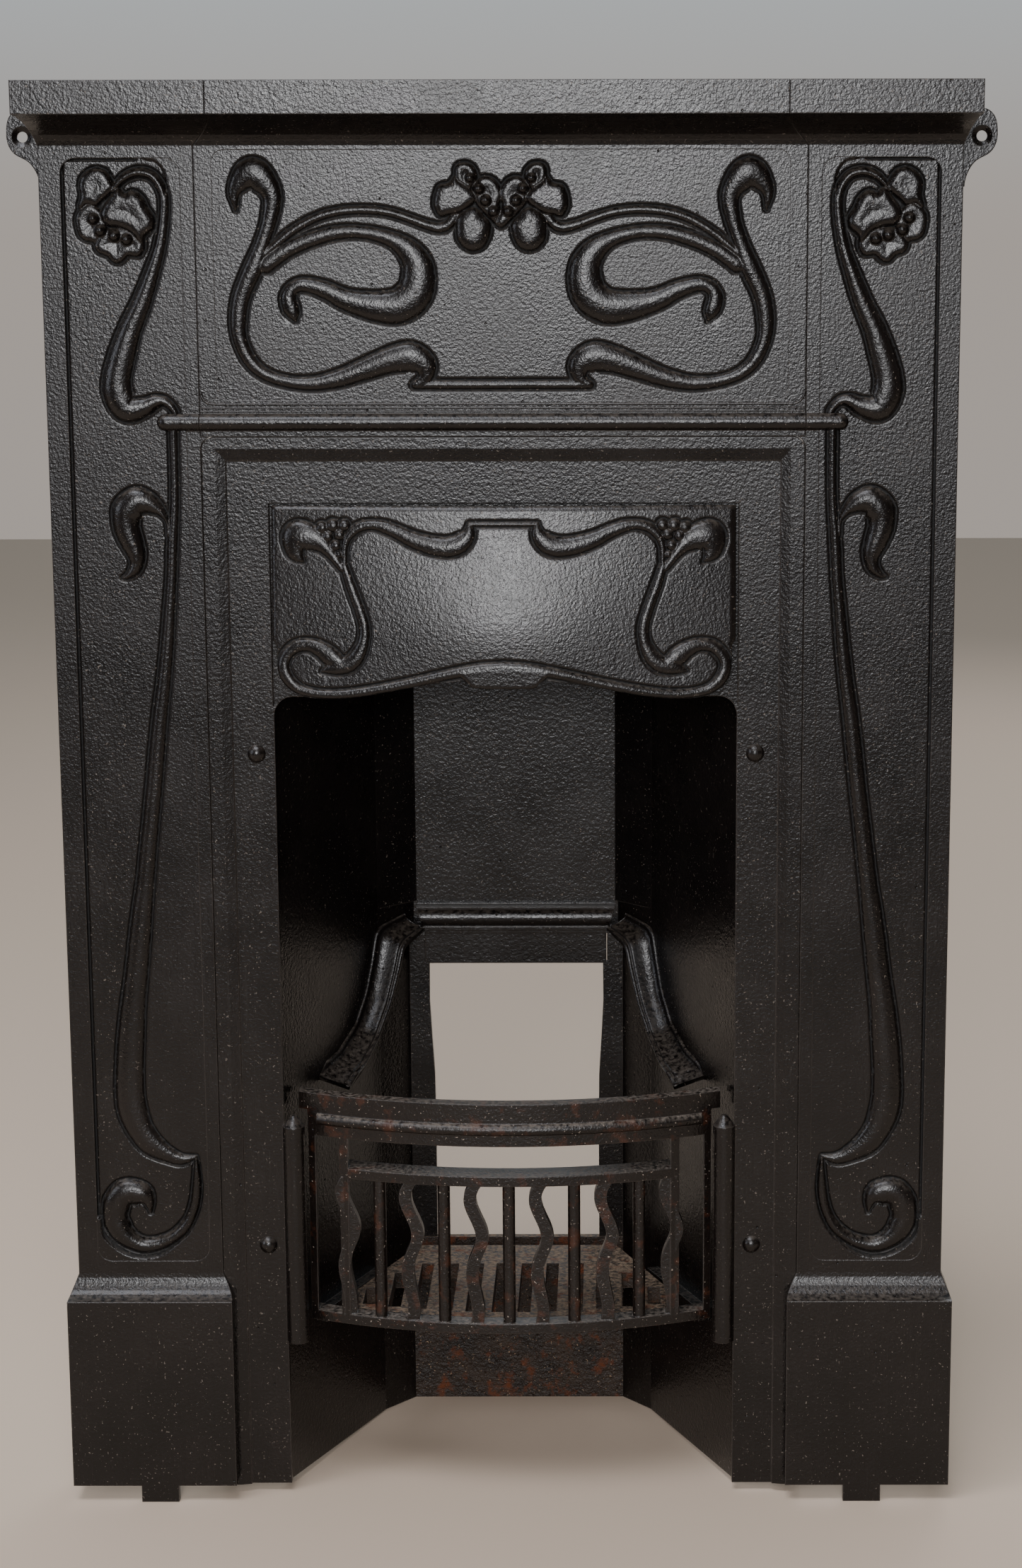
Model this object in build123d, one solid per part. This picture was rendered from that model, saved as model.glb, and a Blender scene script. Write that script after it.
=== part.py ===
# Cast-iron combination fireplace: surround, hood, firebox, front bars and grate.
# Millimetres. X is to the right, Y goes back into the wall and Z is up. The origin is on the hearth, midway
# between the jambs, in the plane of the jamb faces.
import os
from math import cos, hypot, pi, radians, sin, sqrt

from build123d import *

os.makedirs("parts", exist_ok=True)

# Overall sizes
shelf_top_z = 965.0  # 38 in
shelf_half_x = 305.0  # 24 in over the shelf
shelf_front_y = -52.0
fascia_height = 21.0
wall_y = 30.0  # the plaster that the casting is screwed against
casting = 6.0  # usual wall of the castings
joint_gap = 0.4  # between castings that butt

# Jambs
jamb_outer_x = 299.0
jamb_inner_x = 199.0
shelf_seam_x = 183.5
cove_foot_z = 927.0
plinth_front_y = -14.0
plinth_top_z = 147.0
plinth_cove_z = 163.0
plinth_outer_x = 305.5
plinth_inner_x = 191.5
plinth_bottom_z = 12.0
foot_tab_x = 245.0
foot_tab_width = 26.0
field_x = (208.0, 285.0)
field_z = (172.0, 919.0)
field_depth = 4.0
field_corner_r = 10.0
ear_hole_x = 314.0
ear_hole_z = 933.5
ear_hole_r = 3.5
ear_sink_r = 6.8
ear_sink_depth = 2.2
ear_wall = 4.0
jamb_bolt_y = 20.0
jamb_bolt_z = (90.0, 400.0, 700.0, 850.0)  # the top one holds the frieze, the others the insert frame

# Frieze and the bead rod under it
bead_z = 749.5
bead_r = 5.5
bead_end_x = 227.0
frieze_bottom_z = 740.0
panel_half_x = 187.0
panel_z = (764.0, 924.0)
panel_depth = 2.0
frieze_bolt_x = 120.0
frieze_bolt_y = 20.5

# Insert frame
border_front_y = 0.8
bevel_foot_y = 2.2
frame_front_y = 4.0
frame_back_y = 10.0
frame_bottom_z = 6.0  # it hangs clear of the hearth between the foot tabs
frame_corner_r = 8.0
border_edge = (190.0, 732.0)  # half width and top, where the bevel starts
border_inside = (183.0, 724.0)  # half width and top of the flat face
opening_half_x = 155.0
opening_top_z = 566.0
opening_corner_r = 12.0
hood_recess_half_x = 155.8
hood_recess_z = (560.0, 695.8)
hood_plate_y = (9.0, 14.0)
smoke_opening_half_x = 112.0
smoke_opening_top_z = 640.0
post_x = 148.2
post_y = 4.0
post_r = 7.6
post_z = (112.0, 268.0)
post_cap_height = 7.5
cheek_bolt_x = 167.5
cheek_bolt_z = (182.0, 528.0)

# Hood
hood_half_x = 153.6
hood_top_z = 694.6
hood_wall = 6.0
hood_side_y = 2.0
hood_bow = 10.0  # how far its middle stands in front of its sides
hood_lean = 5.0  # degrees, lower edge forward
hood_bead_width = 10.0
hood_bead_height = 3.0
hood_tongue_x = 90.0
hood_tongue_z = 654.0

# Firebox, in plan: front corner, rear corner and back corner of the right-hand cheek's inner face
cheek_front = (157.0, 10.0)
cheek_rear = (100.0, 146.0)
cheek_back = (79.0, 172.0)
upper_cheek_back_x = 73.3  # above the cornice
rear_flange_x = 87.0
# Ragged inner edge of the cheeks' back wings, between the two back plates: half width and height
wing_edge = ((61.2, 128.4), (61.0, 215.0), (61.4, 255.0), (63.2, 285.0), (64.6, 312.0), (64.4, 341.6))
firebox_top_z = 700.0
back_half_x = 114.0
back_bolt_x = 106.0
lower_back_top_z = 128.0
lower_back_bolt_z = (35.0, 95.0)
upper_back_bolt_z = (400.0, 540.0, 660.0)
cornice_z = 377.0
cornice_r = 7.0
cornice_half_x = 76.0
mitre = ((67.4, 366.2), (74.0, 388.0))  # where the cornice meets the cheeks' arms, in XZ
lower_cheek_back_x = 75.5  # beside the cornice
strip_half_x = 67.0
strip_z = (342.0, 364.0)
ledge_top_z = 117.8
ledge_depth = 8.0

# Throat plate and damper
throat_wall = 6.0
throat_front = (172.0, 20.0)
throat_rear_x = 122.0
throat_bolts_xy = ((144.5, 73.5), (107.0, 158.5))
throat_lugs = (((132.0, 153.0), (66.0, 81.0)), ((99.0, 114.0), (151.0, 167.0)))
throat_lug_z = 688.0
throat_half_x = 72.0
throat_y = (62.0, 128.0)
hinge_y = 145.0
hinge_z = 713.5
hinge_pin_r = 3.0
hinge_clearance = 0.06
knuckle_r = 5.6
flap_half_x = 78.0
flap_y = (56.0, 136.0)
flap_z = (706.3, 710.3)

# Front bars
bar_bow = 33.0
rail_half_x = 146.0
rail_front_y = -15.0
grille_half_x = 139.6
bar_pitch = 22.4
bar_count = 11
bar_width = 8.6
bottom_rail_z = (124.0, 131.0)
middle_rail_z = (230.0, 237.0)
top_rail_z = (258.5, 288.5)
rail_end_bottom_z = 276.4
inner_stile_x = (111.3, 117.5)
end_stile_x = (134.4, 139.6)
rail_bead_z = 270.5
rail_bead_r = 4.0
bow_radius = (rail_half_x**2 + bar_bow**2) / (2 * bar_bow)
bow_centre_y = rail_front_y + bow_radius

# Bottom grate
grate_z = (118.0, 130.0)
grate_front_gap = 16.0  # behind the front face of the bars
grate_slot_pitch = 18.3
grate_slot_width = 9.0
grate_slot_back_y = (109.0, 109.0, 109.0, 109.0, 90.0, 60.0)

# Fasteners
dome_head_r = 6.2
dome_head_height = 4.0
shank_r = 3.0
hole_r = 3.4
nut_r = 6.0
nut_height = 5.0


def mirrored(part):
    return mirror(part, about=Plane.YZ)


def prism_x(points, x_from, x_to):
    """Solid with a section in the YZ plane, between two X positions."""
    outline = Polyline(*[(x_from, y, z) for y, z in points], close=True)
    return extrude(make_face(outline), amount=x_to - x_from, dir=(1, 0, 0))


def prism_y(points, y_from, y_to):
    """Solid with an outline in the XZ plane, between two Y positions."""
    outline = Polyline(*[(x, y_from, z) for x, z in points], close=True)
    return extrude(make_face(outline), amount=y_to - y_from, dir=(0, 1, 0))


def prism_z(points, z_from, z_to):
    """Solid with a plan outline, between two heights."""
    outline = Polyline(*[(x, y, z_from) for x, y in points], close=True)
    return extrude(make_face(outline), amount=z_to - z_from, dir=(0, 0, 1))


def block(x_range, y_range, z_range):
    ranges = (x_range, y_range, z_range)
    size = [high - low for low, high in ranges]
    corner = [low for low, high in ranges]
    return Pos(*corner) * Box(*size, align=(Align.MIN, Align.MIN, Align.MIN))


def rod(start, end, radius):
    """Round bar between two points."""
    run = Vector(*end) - Vector(*start)
    bar = Cylinder(radius, run.length, align=(Align.CENTER, Align.CENTER, Align.MIN))
    return Plane(origin=start, z_dir=run) * bar


def nut(start, end):
    """Hexagonal prism between two points."""
    run = Vector(*end) - Vector(*start)
    return extrude(Plane(origin=start, z_dir=run) * RegularPolygon(nut_r, 6), amount=run.length)


def hollow_nut(start, end):
    return nut(start, end) - rod(start, end, shank_r)


def cove(start, end, steps=8):
    """Points of a hollow moulding from start to end: a quarter of an ellipse about the corner under start."""
    points = []
    for step in range(1, steps):
        turn = 0.5 * pi * step / steps
        across = start[0] + (end[0] - start[0]) * sin(turn)
        down = end[1] + (start[1] - end[1]) * cos(turn)
        points.append((across, down))
    return points


def front_section(inset, back, bottom):
    """YZ section of the jambs and the frieze: shelf, cove, face and plinth, moved inwards by the inset."""
    fascia_foot = (shelf_front_y + inset, shelf_top_z - fascia_height + inset)
    cove_foot = (inset, cove_foot_z + inset)
    points = [(back, shelf_top_z - inset), (shelf_front_y + inset, shelf_top_z - inset), fascia_foot]
    points += cove(fascia_foot, cove_foot) + [cove_foot]
    if bottom < plinth_top_z:
        neck = (inset, plinth_cove_z - inset)
        edge = (plinth_front_y + inset, plinth_top_z - inset)
        hollow = [(y, z) for y, z in reversed(cove(edge, neck))]
        points += [neck] + hollow + [edge, (edge[0], bottom)]
    else:
        points.append((inset, bottom))
    return points + [(back, bottom)]


def jamb_sides(inset, bottom, inner_plinth_x):
    """XZ outline of the right-hand jamb, with the flares of its shelf end and its plinth."""
    shelf_low_z = shelf_top_z - fascia_height + inset
    return [
        (shelf_seam_x + inset, shelf_top_z - inset),
        (shelf_half_x - inset, shelf_top_z - inset),
        (shelf_half_x - inset, shelf_low_z),
        (jamb_outer_x - inset, cove_foot_z + inset),
        (jamb_outer_x - inset, plinth_cove_z - inset),
        (plinth_outer_x - inset, plinth_top_z - inset),
        (plinth_outer_x - inset, bottom),
        (inner_plinth_x, bottom),
        (inner_plinth_x, plinth_top_z - inset),
        (jamb_inner_x + inset, plinth_cove_z - inset),
        (jamb_inner_x + inset, cove_foot_z + inset),
        (shelf_seam_x + inset, shelf_low_z),
    ]


def frieze_sides(inset, bottom):
    half_shelf = shelf_seam_x - joint_gap - inset
    half_panel = jamb_inner_x - joint_gap - inset
    shelf_low_z = shelf_top_z - fascia_height + inset
    right = [(half_shelf, shelf_top_z - inset), (half_shelf, shelf_low_z), (half_panel, cove_foot_z + inset)]
    right.append((half_panel, bottom))
    return right + [(-x, z) for x, z in reversed(right)]


def sunk_field(x_range, z_range, depth, corner):
    """Cutter for a sunk field with rounded corners in a face at y = 0."""
    centre = (sum(x_range) / 2, -1, sum(z_range) / 2)
    outline = RectangleRounded(x_range[1] - x_range[0], z_range[1] - z_range[0], corner)
    return extrude(Plane(origin=centre, x_dir=(1, 0, 0), z_dir=(0, 1, 0)) * outline, amount=depth + 1)


def wall_ear():
    """Fixing ear, rounded at its hole and swept down into the side of the jamb."""
    y = wall_y - ear_wall
    sweep = [(316, 951), (322, 946), (324, 937), (323.5, 930), (319, 922.5), (311, 918), (305.5, 911),
             (303, 901)]
    sweep = [(x, y, z) for x, z in sweep]
    root = Polyline(sweep[-1], (295, y, 899), (295, y, 951), sweep[0])
    return extrude(make_face(Curve() + [Spline(*sweep), root]), amount=ear_wall, dir=(0, 1, 0))


def frame_corner_fill():
    """Web of the jamb that follows the rounded top corner of the insert frame."""
    centre_x = jamb_inner_x - joint_gap - frame_corner_r
    centre_z = frieze_bottom_z - joint_gap - frame_corner_r
    arc = []
    for degrees in range(10, 67, 8):
        turn = radians(degrees)
        reach = frame_corner_r + joint_gap
        arc.append((centre_x + reach * cos(turn), centre_z + reach * sin(turn)))
    top = frieze_bottom_z - joint_gap
    outline = arc + [(arc[-1][0], top), (jamb_inner_x + 1, top), (jamb_inner_x + 1, arc[0][1])]
    return prism_y(outline, 0, casting)


def jamb():
    reach = (shelf_seam_x - 1, shelf_half_x + 2)
    outside = prism_x(front_section(0, wall_y, plinth_bottom_z), *reach)
    outside &= prism_y(jamb_sides(0, plinth_bottom_z, plinth_inner_x), shelf_front_y - 1, wall_y + 1)
    hollow = prism_x(front_section(casting, wall_y + 1, -1), *reach)
    hollow &= prism_y(jamb_sides(casting, -1, jamb_inner_x + casting), shelf_front_y - 1, wall_y + 2)
    body = outside - hollow
    # The insert frame's border passes behind the inner flare of the plinth.
    body -= block((plinth_inner_x - 1, jamb_inner_x), (0.3, wall_y + 1), (-1, plinth_cove_z + 1))
    # The plate is backed up behind the sunk field, so that the floor of the field isn't thin.
    backing_z = (field_z[0] - 3, field_z[1])
    body += block((field_x[0] - 3, field_x[1] + 3), (casting - 1, casting + field_depth), backing_z)
    body -= sunk_field(field_x, field_z, field_depth, field_corner_r)
    # Stub of the bead rod that runs over from the frieze
    stub_end = (bead_end_x - bead_r, 0, bead_z)
    body += rod((jamb_inner_x, 0, bead_z), stub_end, bead_r) + Pos(*stub_end) * Sphere(bead_r)
    # Foot tab that keys into the hearth
    tab_x = (foot_tab_x - foot_tab_width / 2, foot_tab_x + foot_tab_width / 2)
    body += block(tab_x, (plinth_front_y, plinth_front_y + casting), (0, plinth_bottom_z + 4))
    # Fixing ear against the wall, tapered below
    hole_front = (ear_hole_x, wall_y - 5, ear_hole_z)
    ear = wall_ear() - rod(hole_front, (ear_hole_x, wall_y + 1, ear_hole_z), ear_hole_r)
    countersink = Cone(ear_sink_r, ear_hole_r, ear_sink_depth, align=(Align.CENTER, Align.CENTER, Align.MIN))
    ear -= Plane(origin=(ear_hole_x, wall_y - ear_wall, ear_hole_z), z_dir=(0, 1, 0)) * countersink
    body += ear + frame_corner_fill()
    for z in jamb_bolt_z:
        body -= rod((jamb_inner_x - 1, jamb_bolt_y, z), (jamb_inner_x + casting + 1, jamb_bolt_y, z), hole_r)
    return body


def frieze():
    half = jamb_inner_x + 1
    outside = prism_x(front_section(0, wall_y, frieze_bottom_z), -half, half)
    outside &= prism_y(frieze_sides(0, frieze_bottom_z), shelf_front_y - 1, wall_y + 1)
    hollow = prism_x(front_section(casting, wall_y + 1, frieze_bottom_z + casting), -half, half)
    hollow &= prism_y(frieze_sides(casting, frieze_bottom_z + casting), shelf_front_y - 1, wall_y + 2)
    body = outside - hollow
    body -= sunk_field((-panel_half_x, panel_half_x), panel_z, panel_depth, 8)
    half_rod = jamb_inner_x - joint_gap
    body += rod((-half_rod, 0, bead_z), (half_rod, 0, bead_z), bead_r)
    flange_x = jamb_inner_x - joint_gap - casting
    for side in (-1, 1):
        start = (side * (flange_x - 1), jamb_bolt_y, jamb_bolt_z[-1])
        end = (side * (jamb_inner_x + 1), jamb_bolt_y, jamb_bolt_z[-1])
        body -= rod(start, end, hole_r)
        x = side * frieze_bolt_x
        start = (x, frieze_bolt_y, frieze_bottom_z - 1)
        body -= rod(start, (x, frieze_bolt_y, frieze_bottom_z + casting + 1), hole_r)
    return body


def rectangle_face(half_x, z_range, y):
    low, high = z_range
    points = [(-half_x, y, low), (half_x, y, low), (half_x, y, high), (-half_x, y, high)]
    return make_face(Polyline(*points, close=True))


def insert_frame():
    half = jamb_inner_x - joint_gap
    top = frieze_bottom_z - joint_gap
    body = block((-half, half), (border_front_y, frame_back_y), (frame_bottom_z, top))
    # Bevelled border, then the flat face
    bevel_edge = rectangle_face(border_edge[0], (-40, border_edge[1]), border_front_y - 0.01)
    bevel_foot = rectangle_face(border_inside[0], (-40, border_inside[1]), bevel_foot_y)
    body -= loft([bevel_edge, bevel_foot])
    body -= block((-border_inside[0], border_inside[0]), (0, frame_front_y), (-1, border_inside[1]))
    # Returns behind, where the jambs and the frieze are bolted on
    for side in (-1, 1):
        inner = half - casting
        body += block(sorted((side * inner, side * half)), (frame_back_y - 1, wall_y), (frame_bottom_z, top))
    body += block((-half, half), (frame_back_y - 1, wall_y - 4), (top - casting, top))
    outside = RectangleRounded(2 * half, top + 60, frame_corner_r)
    plane = Plane(origin=(0, -1, top - (top + 60) / 2), x_dir=(1, 0, 0), z_dir=(0, 1, 0))
    body &= extrude(plane * outside, amount=wall_y + 2)
    # Recess and back plate of the hood, with the way to the flue behind it
    plate_half = opening_half_x + 12
    body += block((-plate_half, plate_half), hood_plate_y, (opening_top_z - 6, top - casting + 1))
    body -= block((-hood_recess_half_x, hood_recess_half_x), (0, hood_plate_y[0]), hood_recess_z)
    corners = RectangleRounded(2 * opening_half_x, opening_top_z + 60, opening_corner_r)
    middle = (0, -1, opening_top_z - (opening_top_z + 60) / 2)
    body -= extrude(Plane(origin=middle, x_dir=(1, 0, 0), z_dir=(0, 1, 0)) * corners, amount=20)
    smoke_x = (-smoke_opening_half_x, smoke_opening_half_x)
    body -= block(smoke_x, (0, 20), (opening_top_z - 20, smoke_opening_top_z))
    for side in (-1, 1):
        x = side * hood_tongue_x
        body -= block((x - 6, x + 6), (5, 20), (hood_tongue_z - 5, hood_tongue_z + 5))
        # Half-round post that the front bars hang on, with a cap that sheds ash
        x = side * post_x
        body += rod((x, post_y, post_z[0]), (x, post_y, post_z[1]), post_r)
        cap = Cone(post_r, 2.0, post_cap_height, align=(Align.CENTER, Align.CENTER, Align.MIN))
        body += Pos(x, post_y, post_z[1]) * cap
        body += block(sorted((side * (post_x - 3), side * (opening_half_x + 1))), (6, frame_back_y), post_z)
        for z in cheek_bolt_z:
            x = side * cheek_bolt_x
            body -= rod((x, 0, z), (x, frame_back_y + 1, z), hole_r)
        for z in jamb_bolt_z[:-1]:
            body -= rod((side * (half - casting - 1), jamb_bolt_y, z), (side * (half + 1), jamb_bolt_y, z), hole_r)
        x = side * frieze_bolt_x
        body -= rod((x, frieze_bolt_y, top - casting - 1), (x, frieze_bolt_y, top + 1), hole_r)
    return body


def hood_shell(proud, wall):
    """Bowed and leaning shell, its outer face moved forward by proud, with the given wall."""
    radius = (hood_half_x**2 + hood_bow**2) / (2 * hood_bow)
    height = 400
    shell = Cylinder(radius + proud, height) - Cylinder(radius + proud - wall, height + 2)
    shell = Pos(0, radius - hood_bow, 0) * shell
    shell &= block((-hood_half_x - 5, hood_half_x + 5), (-60, 60), (-height / 2, height / 2))
    return Pos(0, hood_side_y, hood_top_z) * Rot(-hood_lean, 0, 0) * shell


def hood_outline(rise):
    """Right half of the hood's lower edge, as a wire from the side to the middle, lifted by rise."""
    edge = [(153.6, 604), (152.6, 588), (148, 577), (139, 569.5), (126, 566), (108, 566.5), (88, 569.5),
            (60, 574.5)]
    edge.append((27, 577.5))
    return [(x, z + rise) for x, z in edge]


def hood_face(rise, tab_bottom_z):
    """Face of the hood in the XZ plane."""
    y = -60
    right = [(x, y, z) for x, z in hood_outline(rise)]
    left = [(-x, y, z) for x, y, z in reversed(right)]
    tab = [right[-1], (22, y, tab_bottom_z), (-22, y, tab_bottom_z), left[0]]
    head = [left[-1], (-hood_half_x, y, hood_top_z), (hood_half_x, y, hood_top_z), right[0]]
    return make_face(Curve() + [Spline(*right), Polyline(*tab), Spline(*left), Polyline(*head)])


def canopy():
    outline = extrude(hood_face(0, 573), amount=100, dir=(0, 1, 0))
    body = outline & hood_shell(0, hood_wall)
    # Raised bead along the scrolled lower edge
    above = extrude(hood_face(hood_bead_width, 573 + 18), amount=100, dir=(0, 1, 0))
    body += (outline - above) & hood_shell(hood_bead_height, hood_bead_height + 2)
    # Tongues that hang it in the slots of the insert frame
    for side in (-1, 1):
        x = side * hood_tongue_x
        body += block((x - 5, x + 5), (-4, 16), (hood_tongue_z - 4, hood_tongue_z + 4))
    return body


def thickened(path, wall):
    """Plan outline of a plate: the path is its inner face, and the wall is set off to the path's left."""
    outer = []
    for index, point in enumerate(path):
        before = path[max(index - 1, 0)]
        after = path[min(index + 1, len(path) - 1)]
        offsets = []
        for start, end in ((before, point), (point, after)):
            run = hypot(end[0] - start[0], end[1] - start[1])
            if run > 0:
                offsets.append((-(end[1] - start[1]) / run, (end[0] - start[0]) / run))
        mean = (sum(x for x, y in offsets) / len(offsets), sum(y for x, y in offsets) / len(offsets))
        scale = wall / (mean[0] ** 2 + mean[1] ** 2)
        outer.append((point[0] + mean[0] * scale, point[1] + mean[1] * scale))
    return list(path) + outer[::-1]


def along(start, end, share):
    return tuple(low + (high - low) * share for low, high in zip(start, end))


def arm_section(outer, inner, depth):
    """Parallelogram across the arm's moulding, with its front edge from outer to inner."""
    far = [(x, y + depth, z) for x, y, z in (inner, outer)]
    return make_face(Polyline(outer, inner, *far, close=True))


# Front edges of the moulded arm, from the cornice's mitre down to the front bars: outer point, inner point
arm_stations = (
    ((84.0, 164.5, 378.0), (69.3, 163.5, 367.0)),
    ((102.0, 148.0, 371.0), (81.0, 146.0, 360.0)),
    ((105.0, 141.0, 350.0), (84.5, 140.0, 343.0)),
    ((109.0, 131.0, 329.0), (90.5, 130.0, 320.0)),
    ((116.0, 115.0, 308.0), (98.5, 114.0, 299.0)),
    ((127.0, 88.0, 294.0), (107.5, 88.0, 284.0)),
    ((139.0, 60.0, 288.0), (115.0, 61.0, 279.0)),
)
arm_depth = 7.0
rib_width = 0.1  # share of the arm's width
rib_height = 1.4


def arm_strip(share_from, share_to, proud, depth):
    """Part of the arm between two shares of its width, standing proud of its front face."""
    sections = []
    for outer, inner in arm_stations:
        first = along(outer, inner, share_from)
        last = along(outer, inner, share_to)
        first = (first[0], first[1] - proud, first[2])
        last = (last[0], last[1] - proud, last[2])
        sections.append(arm_section(first, last, depth))
    return loft(sections, ruled=True)


def cheek():
    path = (cheek_back, cheek_rear, cheek_front)
    body = prism_z(thickened(path, casting), 0, firebox_top_z)
    cornice_top_z = mitre[1][1] + joint_gap
    for back_x, wedge_z in ((lower_cheek_back_x, (strip_z[1], cornice_top_z)),
                            (upper_cheek_back_x, (cornice_top_z, firebox_top_z))):
        wedge = [cheek_rear, (back_x, cheek_back[1]), (cheek_back[0] + 3, cheek_back[1])]
        body += prism_z(wedge, *wedge_z)
    behind = (cheek_back[1], cheek_back[1] + 3 * casting)
    body -= block((upper_cheek_back_x - 2, back_half_x), behind, (-1, firebox_top_z + 1))
    # Room for the hood's back plate, and the flange behind the insert frame
    body -= block((140, 200), (9, hood_plate_y[1] + joint_gap), (opening_top_z - 7, firebox_top_z + 1))
    flange_z = (cheek_bolt_z[0] - 60, cheek_bolt_z[1] + 26)
    body += block((cheek_front[0] + 1, 184), (frame_back_y, frame_back_y + casting - 1), flange_z)
    for z in cheek_bolt_z:
        body -= rod((cheek_bolt_x, frame_back_y - 1, z), (cheek_bolt_x, frame_back_y + casting, z), hole_r)
    # Flange that the back plates are bolted to
    body += block((rear_flange_x, back_half_x), (cheek_back[1] - casting, cheek_back[1]), (0, firebox_top_z))
    beside_strip_x = strip_half_x + joint_gap
    wing_top_z = strip_z[1] - joint_gap
    wing = list(wing_edge) + [(beside_strip_x, wing_edge[-1][1]), (beside_strip_x, wing_top_z),
                              (back_half_x, wing_top_z), (back_half_x, wing_edge[0][1])]
    body += prism_y(wing, cheek_back[1], cheek_back[1] + casting)
    for z in lower_back_bolt_z + upper_back_bolt_z:
        start = (back_bolt_x, cheek_back[1] - casting - 1, z)
        body -= rod(start, (back_bolt_x, cheek_back[1] + 1, z), hole_r)
    # Ledge under the bottom grate
    ledge_path = (along(cheek_front, cheek_rear, 0.92), along(cheek_front, cheek_rear, 0.3))
    body += prism_z(thickened(ledge_path, -ledge_depth), ledge_top_z - 9, ledge_top_z)
    # Lugs that the throat plate is bolted to
    for lug, (x, y) in zip(throat_lugs, throat_bolts_xy):
        body += block(*lug, (throat_lug_z, firebox_top_z))
        body -= rod((x, y, throat_lug_z - 1), (x, y, firebox_top_z + 1), hole_r)
    # The foot of the cheek rises towards the front
    under = [(0, -1), (0, frame_bottom_z), (cheek_back[1], 0), (cheek_back[1], -1)]
    body -= prism_x(under, strip_half_x - casting, cheek_front[0] + 5 * casting)
    # Moulded arm with a rib along each edge
    body += arm_strip(0, 1, 0, arm_depth)
    body += arm_strip(0, rib_width, rib_height, arm_depth)
    body += arm_strip(1 - rib_width, 1, rib_height, arm_depth)
    return body


def upper_back():
    back_y = cheek_back[1]
    body = block((-back_half_x, back_half_x), (back_y, back_y + casting), (strip_z[1], firebox_top_z))
    body += block((-strip_half_x, strip_half_x), (back_y - 4, back_y + casting), (strip_z[0], strip_z[1] + 2))
    # Cornice: a roll between a thin fillet and two fine lines
    roll_y = back_y - 3
    half = cornice_half_x
    body += rod((-half, roll_y, cornice_z), (half, roll_y, cornice_z), cornice_r)
    roll_top = cornice_z + cornice_r
    roll_foot = cornice_z - cornice_r
    low = strip_half_x + 2
    body += block((-half, half), (back_y - 9, back_y + 1), (roll_top - 0.5, roll_top + 2))
    body += block((-low, low), (back_y - 7, back_y + 1), (roll_foot - 2.5, roll_foot + 0.5))
    body += block((-low, low), (back_y - 5.5, back_y + 1), (roll_foot - 5, roll_foot - 2))
    for side in (-1, 1):
        past_mitre = [mitre[0], mitre[1], (back_half_x, mitre[1][1]), (back_half_x, mitre[0][1])]
        body -= prism_y([(side * x, z) for x, z in past_mitre], back_y - 15, back_y)
    return body - back_holes(upper_back_bolt_z)


def back_holes(heights):
    back_y = cheek_back[1]
    holes = []
    for side in (-1, 1):
        for z in heights:
            x = side * back_bolt_x
            holes.append(rod((x, back_y - 1, z), (x, back_y + casting + 1, z), hole_r))
    return Compound(children=holes)


def lower_back():
    back_y = cheek_back[1]
    body = block((-back_half_x, back_half_x), (back_y, back_y + casting), (0, lower_back_top_z))
    body += block((-60, 60), (back_y - ledge_depth, back_y), (ledge_top_z - 9, ledge_top_z))
    return body - back_holes(lower_back_bolt_z)


def throat_plate():
    back_y = cheek_back[1] + casting
    top_z = firebox_top_z + throat_wall
    right = [throat_front, (throat_rear_x, back_y)]
    left = [(-x, y) for x, y in reversed(right)]
    body = prism_z(right + left, firebox_top_z, top_z)
    body -= block((-throat_half_x, throat_half_x), throat_y, (firebox_top_z - 1, top_z + 1))
    for side in (-1, 1):
        lug_x = sorted((side * (flap_half_x + 2), side * (flap_half_x + 8)))
        lug = block(lug_x, (hinge_y - 7, hinge_y + 7), (top_z - 1, hinge_z + 7))
        body += lug - rod((lug_x[0] - 1, hinge_y, hinge_z), (lug_x[1] + 1, hinge_y, hinge_z), hinge_pin_r)
        for x, y in throat_bolts_xy:
            body -= rod((side * x, y, firebox_top_z - 1), (side * x, y, top_z + 1), hole_r)
    return body


def damper_flap():
    body = block((-flap_half_x, flap_half_x), flap_y, flap_z)
    body += block((-flap_half_x, flap_half_x), (flap_y[1] - 1, hinge_y), (flap_z[0] + 2, flap_z[1] + 2))
    body += rod((-flap_half_x, hinge_y, hinge_z), (flap_half_x, hinge_y, hinge_z), knuckle_r)
    bore = hinge_pin_r + hinge_clearance
    body -= rod((-flap_half_x - 1, hinge_y, hinge_z), (flap_half_x + 1, hinge_y, hinge_z), bore)
    # Finger stop for the poker that opens it
    return body + block((-9, 9), (flap_y[0] - 1, flap_y[0] + 4), (flap_z[0], flap_z[1] + 8))


def damper_pin():
    half = flap_half_x + 10
    return rod((-half, hinge_y, hinge_z), (half, hinge_y, hinge_z), hinge_pin_r)


def bow_y(x):
    """Y of the front face of the bars."""
    return bow_centre_y - sqrt(bow_radius**2 - x**2)


def bowed(depth, z_range, x_range, front=0.0):
    """Piece of the bowed grille between two X positions and two heights."""
    height = z_range[1] - z_range[0]
    ring = Cylinder(bow_radius - front, height, align=(Align.CENTER, Align.CENTER, Align.MIN))
    ring -= Cylinder(bow_radius - front - depth, height, align=(Align.CENTER, Align.CENTER, Align.MIN))
    ring = Pos(0, bow_centre_y, z_range[0]) * ring
    return ring & block(x_range, (-40, 70), z_range)


wave = ((0.0, 0.0), (0.2, -0.5), (0.37, -3.0), (0.49, 0.0), (0.61, 4.0), (0.72, 1.5), (0.84, -3.5), (1.0, 0.0))


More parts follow.
